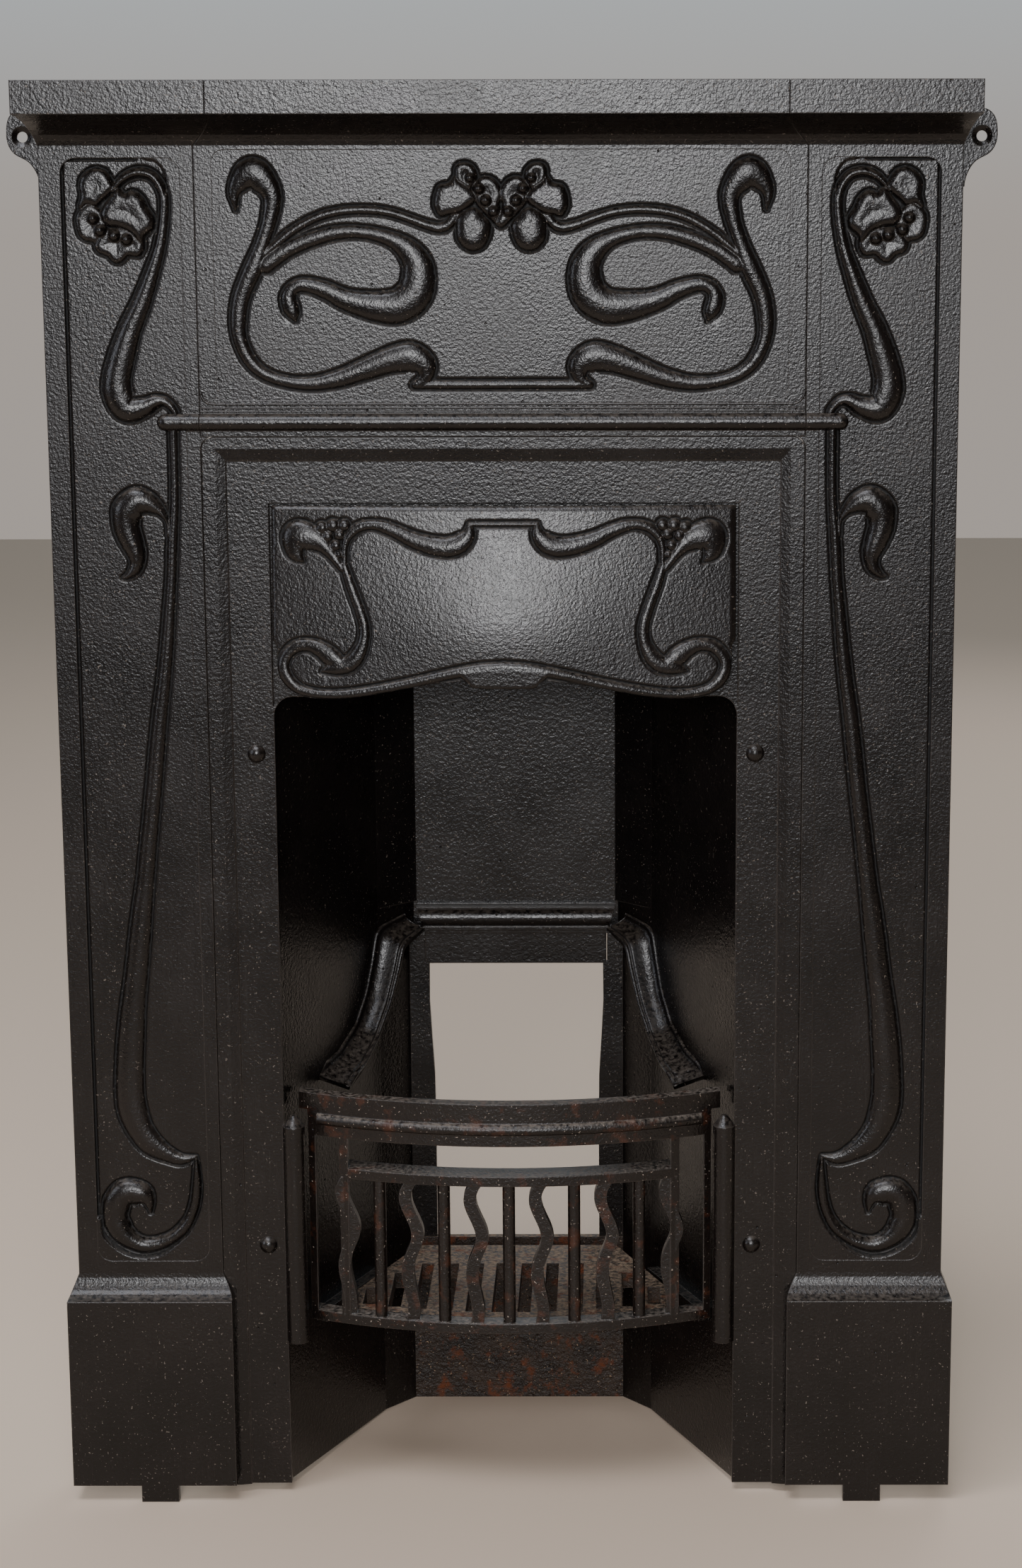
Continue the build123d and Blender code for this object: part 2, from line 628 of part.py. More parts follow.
def fire_bar(index):
    """Upright bar. Every second one, starting with the outermost, has an S-wave in its height."""
    x = (index - (bar_count - 1) / 2) * bar_pitch
    front = bow_y(x) + 1.0
    low = bottom_rail_z[1] - 1
    high = middle_rail_z[0] + 1
    if index % 2:
        return rod((x, front + bar_width / 2, low), (x, front + bar_width / 2, high), bar_width / 2)
    half = bar_width / 2
    left = [(x + shift - half, front, low + share * (high - low)) for share, shift in wave]
    right = [(x + shift + half, front, low + share * (high - low)) for share, shift in reversed(wave)]
    outline = Curve() + [Spline(*left), Line(left[-1], right[0]), Spline(*right), Line(right[-1], left[0])]
    return extrude(make_face(outline), amount=bar_width, dir=(0, 1, 0))


def front_bars():
    body = bowed(7, top_rail_z, (-rail_half_x, rail_half_x))
    body += bowed(10, (top_rail_z[1] - 4, top_rail_z[1]), (-rail_half_x, rail_half_x))
    for side in (-1, 1):
        end = sorted((side * (grille_half_x + 0.2), side * (rail_half_x + 2)))
        body -= block(end, (-40, 70), (top_rail_z[0] - 1, rail_end_bottom_z))
    body += bowed(13, bottom_rail_z, (-grille_half_x, grille_half_x))
    body += bowed(20, middle_rail_z, (-inner_stile_x[1], inner_stile_x[1]))
    for near, far in (inner_stile_x, end_stile_x):
        for side in (-1, 1):
            body += bowed(8, (bottom_rail_z[0], top_rail_z[0] + 1), sorted((side * near, side * far)))
    bead = Pos(0, bow_centre_y, rail_bead_z) * Torus(bow_radius, rail_bead_r)
    body += bead & block((-133, 133), (-40, 70), (rail_bead_z - 6, rail_bead_z + 6))
    for index in range(bar_count):
        body += fire_bar(index)
    return body


def grate_edge_y(x):
    return bow_centre_y - sqrt((bow_radius - grate_front_gap) ** 2 - x**2)


def bottom_grate():
    front = [(x, grate_edge_y(x)) for x in range(-118, 119, 12)]
    front.append((118, grate_edge_y(118)))
    body = prism_z(front + [(112, 54), (74, 148), (-74, 148), (-112, 54)], *grate_z)
    for index, slot_back in enumerate(grate_slot_back_y):
        for side in (-1, 1):
            x = side * (index + 0.5) * grate_slot_pitch
            slot_x = (x - grate_slot_width / 2, x + grate_slot_width / 2)
            body -= block(slot_x, (grate_edge_y(x) + 10, slot_back), (grate_z[0] - 1, grate_z[1] + 1))
    return body


def dome_bolt(x, z):
    """Dome-head bolt in the face of the insert frame, its head towards the room."""
    head_sphere_r = (dome_head_r**2 + dome_head_height**2) / (2 * dome_head_height)
    head = Pos(x, frame_front_y + head_sphere_r - dome_head_height, z) * Sphere(head_sphere_r)
    head &= block((x - 9, x + 9), (frame_front_y - 9, frame_front_y), (z - 9, z + 9))
    return head + rod((x, frame_front_y - 1, z), (x, frame_back_y + casting + nut_height + 1, z), shank_r)


def group(solids):
    return Compound(children=[solid for solid in solids])


def cheek_bolts():
    return group(dome_bolt(side * cheek_bolt_x, z) for side in (-1, 1) for z in cheek_bolt_z)


def cheek_nuts():
    nuts = []
    seat = frame_back_y + casting - 1
    for side in (-1, 1):
        for z in cheek_bolt_z:
            nuts.append(hollow_nut((side * cheek_bolt_x, seat, z), (side * cheek_bolt_x, seat + nut_height, z)))
    return group(nuts)


def jamb_fasteners():
    """Bolts and nuts along X through the returns of the centre castings and the inner walls of the jambs."""
    bolts = []
    nuts = []
    head_seat = jamb_inner_x - joint_gap - casting
    nut_seat = jamb_inner_x + casting
    for side in (-1, 1):
        for z in jamb_bolt_z:
            head = nut((side * (head_seat - 4), jamb_bolt_y, z), (side * head_seat, jamb_bolt_y, z))
            end = (side * (nut_seat + nut_height + 2), jamb_bolt_y, z)
            bolts.append(head + rod((side * (head_seat - 1), jamb_bolt_y, z), end, shank_r))
            nut_end = (side * (nut_seat + nut_height), jamb_bolt_y, z)
            nuts.append(hollow_nut((side * nut_seat, jamb_bolt_y, z), nut_end))
    return group(bolts), group(nuts)


def frieze_fasteners():
    """Bolts and nuts along Z through the foot of the frieze and the top of the insert frame."""
    bolts = []
    nuts = []
    head_seat = frieze_bottom_z + casting
    nut_seat = frieze_bottom_z - joint_gap - casting
    for side in (-1, 1):
        x = side * frieze_bolt_x
        head = nut((x, frieze_bolt_y, head_seat), (x, frieze_bolt_y, head_seat + 4))
        low = (x, frieze_bolt_y, nut_seat - nut_height - 2)
        bolts.append(head + rod(low, (x, frieze_bolt_y, head_seat + 1), shank_r))
        nuts.append(hollow_nut((x, frieze_bolt_y, nut_seat - nut_height), (x, frieze_bolt_y, nut_seat)))
    return group(bolts), group(nuts)


def back_fasteners():
    """Bolts and nuts along Y through the back plates and the rear flanges of the cheeks."""
    bolts = []
    nuts = []
    head_seat = cheek_back[1] + casting
    nut_seat = cheek_back[1] - casting
    for side in (-1, 1):
        x = side * back_bolt_x
        for z in lower_back_bolt_z + upper_back_bolt_z:
            head = nut((x, head_seat, z), (x, head_seat + 4, z))
            bolts.append(head + rod((x, nut_seat - nut_height - 2, z), (x, head_seat + 1, z), shank_r))
            nuts.append(hollow_nut((x, nut_seat - nut_height, z), (x, nut_seat, z)))
    return group(bolts), group(nuts)


def throat_fasteners():
    """Bolts and nuts along Z through the throat plate and the lugs of the cheeks."""
    bolts = []
    nuts = []
    head_seat = firebox_top_z + throat_wall
    for side in (-1, 1):
        for x, y in throat_bolts_xy:
            place = (side * x, y)
            head = nut((*place, head_seat), (*place, head_seat + 4))
            bolts.append(head + rod((*place, throat_lug_z - nut_height - 2), (*place, head_seat + 1), shank_r))
            nuts.append(hollow_nut((*place, throat_lug_z - nut_height), (*place, throat_lug_z)))
    return group(bolts), group(nuts)


right_jamb = jamb()
right_cheek = cheek()
jamb_bolts, jamb_nuts = jamb_fasteners()
frieze_bolts, frieze_nuts = frieze_fasteners()
back_bolts, back_nuts = back_fasteners()
throat_bolts, throat_nuts = throat_fasteners()

nodes = {
    "right_jamb": right_jamb,
    "left_jamb": mirrored(right_jamb),
    "frieze": frieze(),
    "insert_frame": insert_frame(),
    "canopy": canopy(),
    "right_cheek": right_cheek,
    "left_cheek": mirrored(right_cheek),
    "upper_back": upper_back(),
    "lower_back": lower_back(),
    "throat_plate": throat_plate(),
    "damper_flap": damper_flap(),
    "damper_pin": damper_pin(),
    "front_bars": front_bars(),
    "bottom_grate": bottom_grate(),
    "cheek_bolts": cheek_bolts(),
    "cheek_nuts": cheek_nuts(),
    "jamb_bolts": jamb_bolts,
    "jamb_nuts": jamb_nuts,
    "frieze_bolts": frieze_bolts,
    "frieze_nuts": frieze_nuts,
    "back_bolts": back_bolts,
    "back_nuts": back_nuts,
    "throat_bolts": throat_bolts,
    "throat_nuts": throat_nuts,
}

for name, part in nodes.items():
    export_step(part, f"parts/{name}.step")
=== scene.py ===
# Edwardian cast-iron combination fireplace, lengths in metres unless a name or note says mm
import bpy
import math
import numpy as np
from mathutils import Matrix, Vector
from mathutils.geometry import delaunay_2d_cdt


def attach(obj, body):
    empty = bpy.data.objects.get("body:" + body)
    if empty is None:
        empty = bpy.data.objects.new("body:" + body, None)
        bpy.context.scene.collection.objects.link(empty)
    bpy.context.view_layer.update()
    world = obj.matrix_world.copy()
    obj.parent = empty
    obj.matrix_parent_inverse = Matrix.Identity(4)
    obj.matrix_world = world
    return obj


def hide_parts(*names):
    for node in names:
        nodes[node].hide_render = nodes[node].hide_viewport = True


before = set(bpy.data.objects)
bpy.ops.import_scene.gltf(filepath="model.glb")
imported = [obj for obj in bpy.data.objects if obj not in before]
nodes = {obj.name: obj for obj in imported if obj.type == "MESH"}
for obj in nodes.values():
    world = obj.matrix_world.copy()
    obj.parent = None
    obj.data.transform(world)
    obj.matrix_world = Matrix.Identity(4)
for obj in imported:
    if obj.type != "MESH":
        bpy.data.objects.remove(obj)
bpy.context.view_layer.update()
mm = 0.001


def linear(hexColour):
    # sRGB hex to the linear values that the shader wants
    parts = [int(hexColour[i:i + 2], 16) / 255 for i in (1, 3, 5)]
    return [p / 12.92 if p <= 0.04045 else ((p + 0.055) / 1.055) ** 2.4 for p in parts] + [1.0]


def addNode(tree, kind, values=None, links=None, **settings):
    # one shader node with its attributes, socket constants and incoming links
    node = tree.nodes.new(kind)
    for name, value in settings.items():
        setattr(node, name, value)
    for name, value in (values or {}).items():
        node.inputs[name].default_value = value
    for name, source in (links or {}).items():
        tree.links.new(source, node.inputs[name])
    return node


# Camera, floor and light
camera = {"place": (0.0718, -1.8657, 0.8522), "pitchDown": 10.46, "roll": 0.08, "lens": 64.83, "shift": -0.0644}


def makeCamera():
    data = bpy.data.cameras.new("camera")
    data.lens = camera["lens"]
    data.sensor_width = 36.0
    data.shift_x = camera["shift"]
    data.clip_start, data.clip_end = 0.05, 60.0
    eye = bpy.data.objects.new("camera", data)
    eye.location = camera["place"]
    eye.rotation_euler = (math.radians(90 - camera["pitchDown"]), math.radians(camera["roll"]), 0.0)
    bpy.context.scene.collection.objects.link(eye)
    bpy.context.scene.camera = eye


studio = {
    "floorColour": "#d0bba6", "floorHalfWidth": 5.0, "floorReach": (-1.6, 7.0),
    "backdrop": "#bcc6cc", "horizon": "#aca49d", "room": "#4a4644",
    "roomStrength": 1.0,
    # name: (place, aimed at, width, height, watts, colour)
    "lamps": {
        "windowWall": ((-0.15, -5.0, 2.43), (-0.15, 0.0, 2.43), 2.6, 4.0, 152.0, "#fbfbff"),
        "brightPane": ((-0.18, -4.9, 1.70), (0.0, 0.0, 0.64), 0.8, 0.7, 78.0, "#ffffff"),
        "overhead": ((-0.7, -1.2, 3.2), (0.0, 0.0, 0.6), 2.0, 1.2, 66.0, "#f3f6ff"),
        "leftFill": ((-3.0, -1.6, 1.4), (0.0, 0.0, 0.5), 1.2, 1.8, 25.0, "#eef3ff"),
        "rearFill": ((1.2, 3.5, 2.2), (0.0, 0.0, 0.5), 1.6, 1.6, 25.0, "#f6f8ff"),
    },
}


def makeStudio():
    world = bpy.data.worlds.new("studio")
    bpy.context.scene.world = world
    world.use_nodes = True
    tree = world.node_tree
    tree.nodes.clear()
    coords = addNode(tree, "ShaderNodeTexCoord")
    axes = addNode(tree, "ShaderNodeSeparateXYZ", links={"Vector": coords.outputs["Generated"]})
    front = addNode(tree, "ShaderNodeMapRange", {"From Min": -0.35, "From Max": 0.45},
                    {"Value": axes.outputs["Y"]}, interpolation_type="SMOOTHSTEP")
    rise = addNode(tree, "ShaderNodeMapRange", {"From Min": 0.0, "From Max": 0.16},
                   {"Value": axes.outputs["Z"]}, interpolation_type="SMOOTHSTEP")
    behind = addNode(tree, "ShaderNodeMix", {"A": linear(studio["horizon"]), "B": linear(studio["backdrop"])},
                     {"Factor": rise.outputs["Result"]}, data_type="RGBA")
    shade = addNode(tree, "ShaderNodeMix", {"A": linear(studio["room"])},
                    {"Factor": front.outputs["Result"], "B": behind.outputs["Result"]}, data_type="RGBA")
    light = addNode(tree, "ShaderNodeBackground", {"Strength": studio["roomStrength"]},
                    {"Color": shade.outputs["Result"]})
    addNode(tree, "ShaderNodeOutputWorld", links={"Surface": light.outputs["Background"]})

    for name, (place, aim, width, height, watts, colour) in studio["lamps"].items():
        data = bpy.data.lights.new(name, "AREA")
        data.shape, data.size, data.size_y = "RECTANGLE", width, height
        data.energy, data.color = watts, linear(colour)[:3]
        lamp = bpy.data.objects.new(name, data)
        lamp.visible_camera = False
        lamp.location = place
        lamp.rotation_mode = "QUATERNION"
        lamp.rotation_quaternion = (Vector(aim) - Vector(place)).to_track_quat("-Z", "Y")
        bpy.context.scene.collection.objects.link(lamp)

    half = studio["floorHalfWidth"]
    near, far = studio["floorReach"]
    mesh = bpy.data.meshes.new("floor")
    mesh.from_pydata([(-half, near, 0), (half, near, 0), (half, far, 0), (-half, far, 0)], [], [(0, 1, 2, 3)])
    floor = bpy.data.objects.new("floor", mesh)
    bpy.context.scene.collection.objects.link(floor)
    material = bpy.data.materials.new("limewashed concrete floor")
    material.use_nodes = True
    tree = material.node_tree
    tree.nodes["Principled BSDF"].inputs["Base Color"].default_value = linear(studio["floorColour"])
    tree.nodes["Principled BSDF"].inputs["Roughness"].default_value = 0.85
    mesh.materials.append(material)


makeCamera()
makeStudio()
print("camera, floor and light")


def perMetre(sizeMm):
    # texture scale at which one cell or wave measures sizeMm
    return 1000.0 / sizeMm


# Cast iron, sand-cast and blackleaded: warm black with the soft sheen of graphite, an orange-peel skin from
# the moulding sand, odd pits, worn grey edges and faint upright strokes of the polishing brush.
faceIron = {
    "name": "cast iron, sand-cast, blackleaded", "dark": "#080605", "light": "#140f0d", "worn": "#554e49",
    # near-black painted into the lines sunk round the ornament: painted shade, with blacking left thick there
    "blackingAndShade": "#030202", "metallic": 0.0, "specular": 0.4, "roughness": 0.215, "roughnessSpread": 0.10,
    "sunkDull": 0.45, "dustDull": 0.4,
    "peelMm": 2.2, "peelDepth": 0.25, "grainMm": 1.2, "grainDepth": 0.13,
    "pitMm": 16.0, "pitRadiusMm": 0.9, "pitDepth": 0.5,
    "strokeMm": (1.6, 45.0), "strokeShare": 0.25, "mottleMm": 60.0, "edgeMm": 1.2,
    "dust": "#8f8377", "dustShare": 0.25, "powderMm": 3.0, "speckShare": 0.35, "speckMm": 1.6,
    "rust": "#6b3516", "rustShare": 0.0, "rustMm": 14.0,
}

# Inside of the firebox and the back plates: the same iron, never brushed, with a coarser skin and some soot.
fireboxIron = dict(faceIron, name="cast iron, sand-cast, sooted", dark="#060404", light="#0f0b0a",
                   roughness=0.22, peelMm=2.6, peelDepth=0.32, pitDepth=0.6, strokeShare=0.0, dustShare=0.2)

# Front bars: blackened iron under ash dust, with rust starting where the heat has burnt the blacking off.
barIron = dict(faceIron, name="cast iron, heat-worn", dark="#0a0706", light="#18110d", roughness=0.28,
               peelMm=2.0, peelDepth=0.35, strokeShare=0.0, dustShare=0.5, speckShare=0.8, rustShare=0.22)

# Grate and lower back: burnt iron, pitted and matt, dusted brown-grey with ash and rusting in patches.
burntIron = dict(faceIron, name="cast iron, burnt", dark="#120c09", light="#33261c", roughness=0.5,
                 peelMm=2.8, peelDepth=1.3, grainDepth=0.5, pitMm=6.0, pitDepth=0.9, strokeShare=0.0,
                 mottleMm=25.0, dust="#8a7560", dustShare=0.95, speckShare=1.0, rustShare=0.7)

# Bolts and nuts: mild steel, hot-forged, painted over with the castings and rubbed bare on the corners.
boltSteel = dict(faceIron, name="mild steel, forged, painted", peelMm=1.6, peelDepth=0.08, pitDepth=0.1,
                 edgeMm=0.5, worn="#7a736c")


def castIron(look):
    material = bpy.data.materials.new(look["name"])
    material.use_nodes = True
    tree = material.node_tree
    shader = tree.nodes["Principled BSDF"]
    shader.inputs["Metallic"].default_value = look["metallic"]
    shader.inputs["Specular IOR Level"].default_value = look["specular"]
    place = addNode(tree, "ShaderNodeTexCoord").outputs["Object"]

    # sand-cast skin: orange peel, grain and pits, as one height in mm
    peel = addNode(tree, "ShaderNodeTexNoise",
                   {"Scale": perMetre(look["peelMm"]), "Detail": 2.0, "Roughness": 0.5}, {"Vector": place})
    grain = addNode(tree, "ShaderNodeTexNoise", {"Scale": perMetre(look["grainMm"]), "Detail": 1.0},
                    {"Vector": place})
    pits = addNode(tree, "ShaderNodeTexVoronoi", {"Scale": perMetre(look["pitMm"])}, {"Vector": place})
    pitEdge = look["pitRadiusMm"] / look["pitMm"]
    pit = addNode(tree, "ShaderNodeMapRange",
                  {"From Min": pitEdge * 0.4, "From Max": pitEdge, "To Min": 1.0, "To Max": 0.0},
                  {"Value": pits.outputs["Distance"]})
    peelHeight = addNode(tree, "ShaderNodeMath", {1: look["peelDepth"]}, {0: peel.outputs["Fac"]},
                         operation="MULTIPLY")
    skin = addNode(tree, "ShaderNodeMath", {1: look["grainDepth"]},
                   {0: grain.outputs["Fac"], 2: peelHeight.outputs[0]}, operation="MULTIPLY_ADD")
    height = addNode(tree, "ShaderNodeMath", {1: -look["pitDepth"]},
                     {0: pit.outputs["Result"], 2: skin.outputs[0]}, operation="MULTIPLY_ADD")
    # edges rounded by the mould and by wear
    rounded = addNode(tree, "ShaderNodeBevel", {"Radius": look["edgeMm"] * mm}, samples=6)
    bump = addNode(tree, "ShaderNodeBump", {"Strength": 1.0, "Distance": mm},
                   {"Height": height.outputs[0], "Normal": rounded.outputs["Normal"]})
    tree.links.new(bump.outputs["Normal"], shader.inputs["Normal"])

    # brush strokes run upright, mottling is broad
    strokeAcross, strokeAlong = look["strokeMm"]
    stretched = addNode(tree, "ShaderNodeMapping",
                        {"Scale": (perMetre(strokeAcross), perMetre(strokeAcross), perMetre(strokeAlong))},
                        {"Vector": place})
    strokes = addNode(tree, "ShaderNodeTexNoise", {"Scale": 1.0, "Detail": 2.0},
                      {"Vector": stretched.outputs["Vector"]})
    mottle = addNode(tree, "ShaderNodeTexNoise",
                     {"Scale": perMetre(look["mottleMm"]), "Detail": 4.0, "Roughness": 0.6}, {"Vector": place})
    strokesIn = addNode(tree, "ShaderNodeMath", {1: look["strokeShare"]}, {0: strokes.outputs["Fac"]},
                        operation="MULTIPLY")
    shade = addNode(tree, "ShaderNodeMath", {1: 1 - look["strokeShare"]},
                    {0: mottle.outputs["Fac"], 2: strokesIn.outputs[0]}, operation="MULTIPLY_ADD")
    spread = addNode(tree, "ShaderNodeMapRange", {"From Min": 0.3, "From Max": 0.7},
                     {"Value": shade.outputs[0]})
    colour = addNode(tree, "ShaderNodeMix", {"A": linear(look["dark"]), "B": linear(look["light"])},
                     {"Factor": spread.outputs["Result"]}, data_type="RGBA")

    # worn edges: where the rounded normal leaves the true one
    surface = addNode(tree, "ShaderNodeNewGeometry")
    agree = addNode(tree, "ShaderNodeVectorMath", operation="DOT_PRODUCT",
                    links={0: surface.outputs["Normal"], 1: rounded.outputs["Normal"]})
    wear = addNode(tree, "ShaderNodeMapRange", {"From Min": 0.995, "From Max": 0.90, "To Max": 0.75},
                   {"Value": agree.outputs["Value"]})
    wearPatchy = addNode(tree, "ShaderNodeMath", links={0: wear.outputs["Result"], 1: mottle.outputs["Fac"]},
                         operation="MULTIPLY")
    worn = addNode(tree, "ShaderNodeMix", {"B": linear(look["worn"])},
                   {"Factor": wearPatchy.outputs[0], "A": colour.outputs["Result"]}, data_type="RGBA")
    # painted shade: the lines sunk round the ornament are darkened for the shadow that lies in them, and for blacking
    # left thick there
    crest = addNode(tree, "ShaderNodeAttribute", attribute_name="crest")
    sunk = addNode(tree, "ShaderNodeMapRange", {"From Min": -0.1, "From Max": -0.7},
                   {"Value": crest.outputs["Fac"]})
    blackedAndShaded = addNode(tree, "ShaderNodeMix", {"B": linear(look["blackingAndShade"])},
                    {"Factor": sunk.outputs["Result"], "A": worn.outputs["Result"]}, data_type="RGBA")
    # ash and dust lie on what faces up, and in odd specks everywhere
    facing = addNode(tree, "ShaderNodeSeparateXYZ", links={"Vector": surface.outputs["Normal"]})
    upward = addNode(tree, "ShaderNodeMapRange",
                     {"From Min": 0.25, "From Max": 0.95, "To Max": look["dustShare"]},
                     {"Value": facing.outputs["Z"]})
    powder = addNode(tree, "ShaderNodeTexNoise", {"Scale": perMetre(look["powderMm"]), "Detail": 3.0},
                     {"Vector": place})
    patchy = addNode(tree, "ShaderNodeMapRange", {"From Min": 0.35, "From Max": 0.65},
                     {"Value": powder.outputs["Fac"]})
    laid = addNode(tree, "ShaderNodeMath", links={0: upward.outputs["Result"], 1: patchy.outputs["Result"]},
                   operation="MULTIPLY")
    flecks = addNode(tree, "ShaderNodeTexNoise", {"Scale": perMetre(look["speckMm"]), "Detail": 1.0},
                     {"Vector": place})
    speck = addNode(tree, "ShaderNodeMapRange",
                    {"From Min": 0.70, "From Max": 0.76, "To Max": look["speckShare"]},
                    {"Value": flecks.outputs["Fac"]})
    dusty = addNode(tree, "ShaderNodeMath", links={0: laid.outputs[0], 1: speck.outputs["Result"]},
                    operation="MAXIMUM")
    dusted = addNode(tree, "ShaderNodeMix", {"B": linear(look["dust"])},
                     {"Factor": dusty.outputs[0], "A": blackedAndShaded.outputs["Result"]}, data_type="RGBA")
    # rust breaks out in patches
    scale = addNode(tree, "ShaderNodeTexNoise",
                    {"Scale": perMetre(look["rustMm"]), "Detail": 5.0, "Roughness": 0.65}, {"Vector": place})
    rusting = addNode(tree, "ShaderNodeMapRange",
                      {"From Min": 0.55, "From Max": 0.68, "To Max": look["rustShare"]},
                      {"Value": scale.outputs["Fac"]})
    rusted = addNode(tree, "ShaderNodeMix", {"B": linear(look["rust"])},
                     {"Factor": rusting.outputs["Result"], "A": dusted.outputs["Result"]}, data_type="RGBA")
    tree.links.new(rusted.outputs["Result"], shader.inputs["Base Color"])
    matt = addNode(tree, "ShaderNodeMath", links={0: dusty.outputs[0], 1: rusting.outputs["Result"]},
                   operation="MAXIMUM")

    low, high = look["roughness"], look["roughness"] + look["roughnessSpread"]
    gloss = addNode(tree, "ShaderNodeMapRange",
                    {"From Min": 0.3, "From Max": 0.7, "To Min": low, "To Max": high},
                    {"Value": shade.outputs[0]})
    dull = addNode(tree, "ShaderNodeMath", {1: look["sunkDull"]},
                   {0: sunk.outputs["Result"], 2: gloss.outputs["Result"]}, operation="MULTIPLY_ADD")
    dullest = addNode(tree, "ShaderNodeMath", {1: look["dustDull"]}, {0: matt.outputs[0], 2: dull.outputs[0]},
                      operation="MULTIPLY_ADD")
    tree.links.new(dullest.outputs[0], shader.inputs["Roughness"])
    return material


finishes = {"face": castIron(faceIron), "firebox": castIron(fireboxIron), "bars": castIron(barIron),
            "burnt": castIron(burntIron), "bolts": castIron(boltSteel)}
finishOf = {"left_cheek": "firebox", "right_cheek": "firebox", "upper_back": "firebox",
            "throat_plate": "firebox", "damper_flap": "firebox", "lower_back": "burnt",
            "bottom_grate": "burnt", "front_bars": "bars", "damper_pin": "bolts"}
for name, node in nodes.items():
    kind = "bolts" if name.endswith(("_bolts", "_nuts")) else finishOf.get(name, "face")
    for index in range(len(node.data.materials)):
        node.data.materials[index] = finishes[kind]
print("finishes")


# The ornament is drawn as stems, points of (x, z, half width) in mm on the left, mirrored for the right
relief = {
    "railMm": 1.1, "petalMm": 0.7, "groundMm": 6.0,  # spacing along a stem, in a petal and in the ground
    "thinMm": 0.42, "clearMm": 0.35, "quietMm": 1.5,  # least space between points, to the outline, to the ground
    "inside": (0.0, 0.4, 0.72, 0.92),            # shares of a stem's half width that get a row of points
    "outside": (0.0, 0.45, 1.1, 1.5, 2.1, 3.0),  # rows in mm outside its edge
    "petalRow": 4.2,                             # last row in mm outside a petal
    "crown": (0.9, 0.27),                        # height of a stem: mm, and a share of its half width
    "petalFoot": 0.35, "dishReach": 2.2,         # share of height at a petal's edge, and slope of its dish
    "moatMm": 1.2, "moatWidthMm": 1.25, "moatSlopeMm": 0.5,  # line sunk round each stem
    "polishedMm": 3.0, "blackingAndShadeMm": 2.5,           # height where wear is full, and reach of the painted shade and blacking in the sunk lines
}
far = 1e3  # mm, farther than anything here


def smoothLine(points, step):
    # Catmull-Rom line through the points, every column carried along
    p = np.array(points, float)
    p = np.vstack([2 * p[0] - p[1], p, 2 * p[-1] - p[-2]])
    line = []
    for a, b, c, d in zip(p, p[1:], p[2:], p[3:]):
        count = max(1, round(np.linalg.norm((c - b)[:2]) / step))
        t = np.arange(count)[:, None] / count
        line.append(0.5 * (2 * b + (c - a) * t + (2 * a - 5 * b + 4 * c - d) * t ** 2
                           + (3 * b - a - 3 * c + d) * t ** 3))
    line.append(p[-2:-1])
    line = np.vstack(line)
    if line.shape[1] > 2:
        line[:, 2] = np.maximum(line[:, 2], 0.3)
    return line


def nearest(spots, line):
    # distance and half width at each spot, measured to the line's segments
    start, run = line[:-1, :2], np.diff(line[:, :2], axis=0)
    lengths = np.maximum((run ** 2).sum(1), 1e-9)
    distance, width = np.empty(len(spots)), np.empty(len(spots))
    batch = 3000
    for first in range(0, len(spots), batch):
        q = spots[first:first + batch]
        offset = q[:, None, :] - start[None]
        share = np.clip((offset * run).sum(2) / lengths, 0, 1)
        gap = offset - share[:, :, None] * run
        squares = (gap ** 2).sum(2)
        best = squares.argmin(1)
        rows = np.arange(len(q))
        t = share[rows, best]
        distance[first:first + batch] = np.sqrt(squares[rows, best])
        width[first:first + batch] = line[best, 2] * (1 - t) + line[best + 1, 2] * t
    return distance, width


def toOutline(spots, outline):
    # distance of each spot to a closed outline
    ring = np.vstack([outline, outline[:1]])
    return nearest(spots, np.hstack([ring, np.ones((len(ring), 1))]))[0]


def sideways(line, closed=False):
    # unit vector across the run at each point
    run = np.roll(line, -1, axis=0) - np.roll(line, 1, axis=0) if closed else np.gradient(line, axis=0)
    run /= np.maximum(np.linalg.norm(run, axis=1), 1e-9)[:, None]
    return np.stack([-run[:, 1], run[:, 0]], 1)


def insidePolygon(spots, outline):
    # even-odd rule
    x, z = spots[:, 0], spots[:, 1]
    inside = np.zeros(len(spots), bool)
    for (x1, z1), (x2, z2) in zip(outline, np.roll(outline, -1, axis=0)):
        if z1 != z2:
            inside ^= ((z1 > z) != (z2 > z)) & (x < (x2 - x1) * (z - z1) / (z2 - z1) + x1)
    return inside


def rails(line, offsetsOut):
    # rows of points along both edges of a stem, and round its ends
    across = sideways(line[:, :2])
    rows = [line[:, :2]]
    for share in relief["inside"][1:]:
        for side in (-1, 1):
            rows.append(line[:, :2] + across * (side * share * line[:, 2])[:, None])
    for out in offsetsOut:
        for side in (-1, 1):
            rows.append(line[:, :2] + across * (side * (line[:, 2] + out))[:, None])
        for end in (line[0], line[-1]):
            reach = end[2] + out
            turns = np.linspace(0, 2 * np.pi, max(8, int(2 * np.pi * reach / relief["railMm"])), endpoint=False)
            rows.append(end[:2] + reach * np.stack([np.cos(turns), np.sin(turns)], 1))
    return np.vstack(rows)


def thinned(spots, cell):
    # at most one spot in each square cell
    keys = np.round(spots / cell).astype(np.int64)
    keep = np.unique(keys, axis=0, return_index=True)[1]
    return spots[np.sort(keep)]


def closedLine(points, step):
    # smooth closed outline; the points run round once without repeating the first
    count = len(points)
    looped = [points[(i - 2) % count] for i in range(count + 5)]
    line = smoothLine(looped, step)
    first = np.linalg.norm(line - looped[2], axis=1).argmin()
    last = len(line) - 1 - np.linalg.norm(line[::-1] - looped[2], axis=1).argmin()
    return line[first:last]


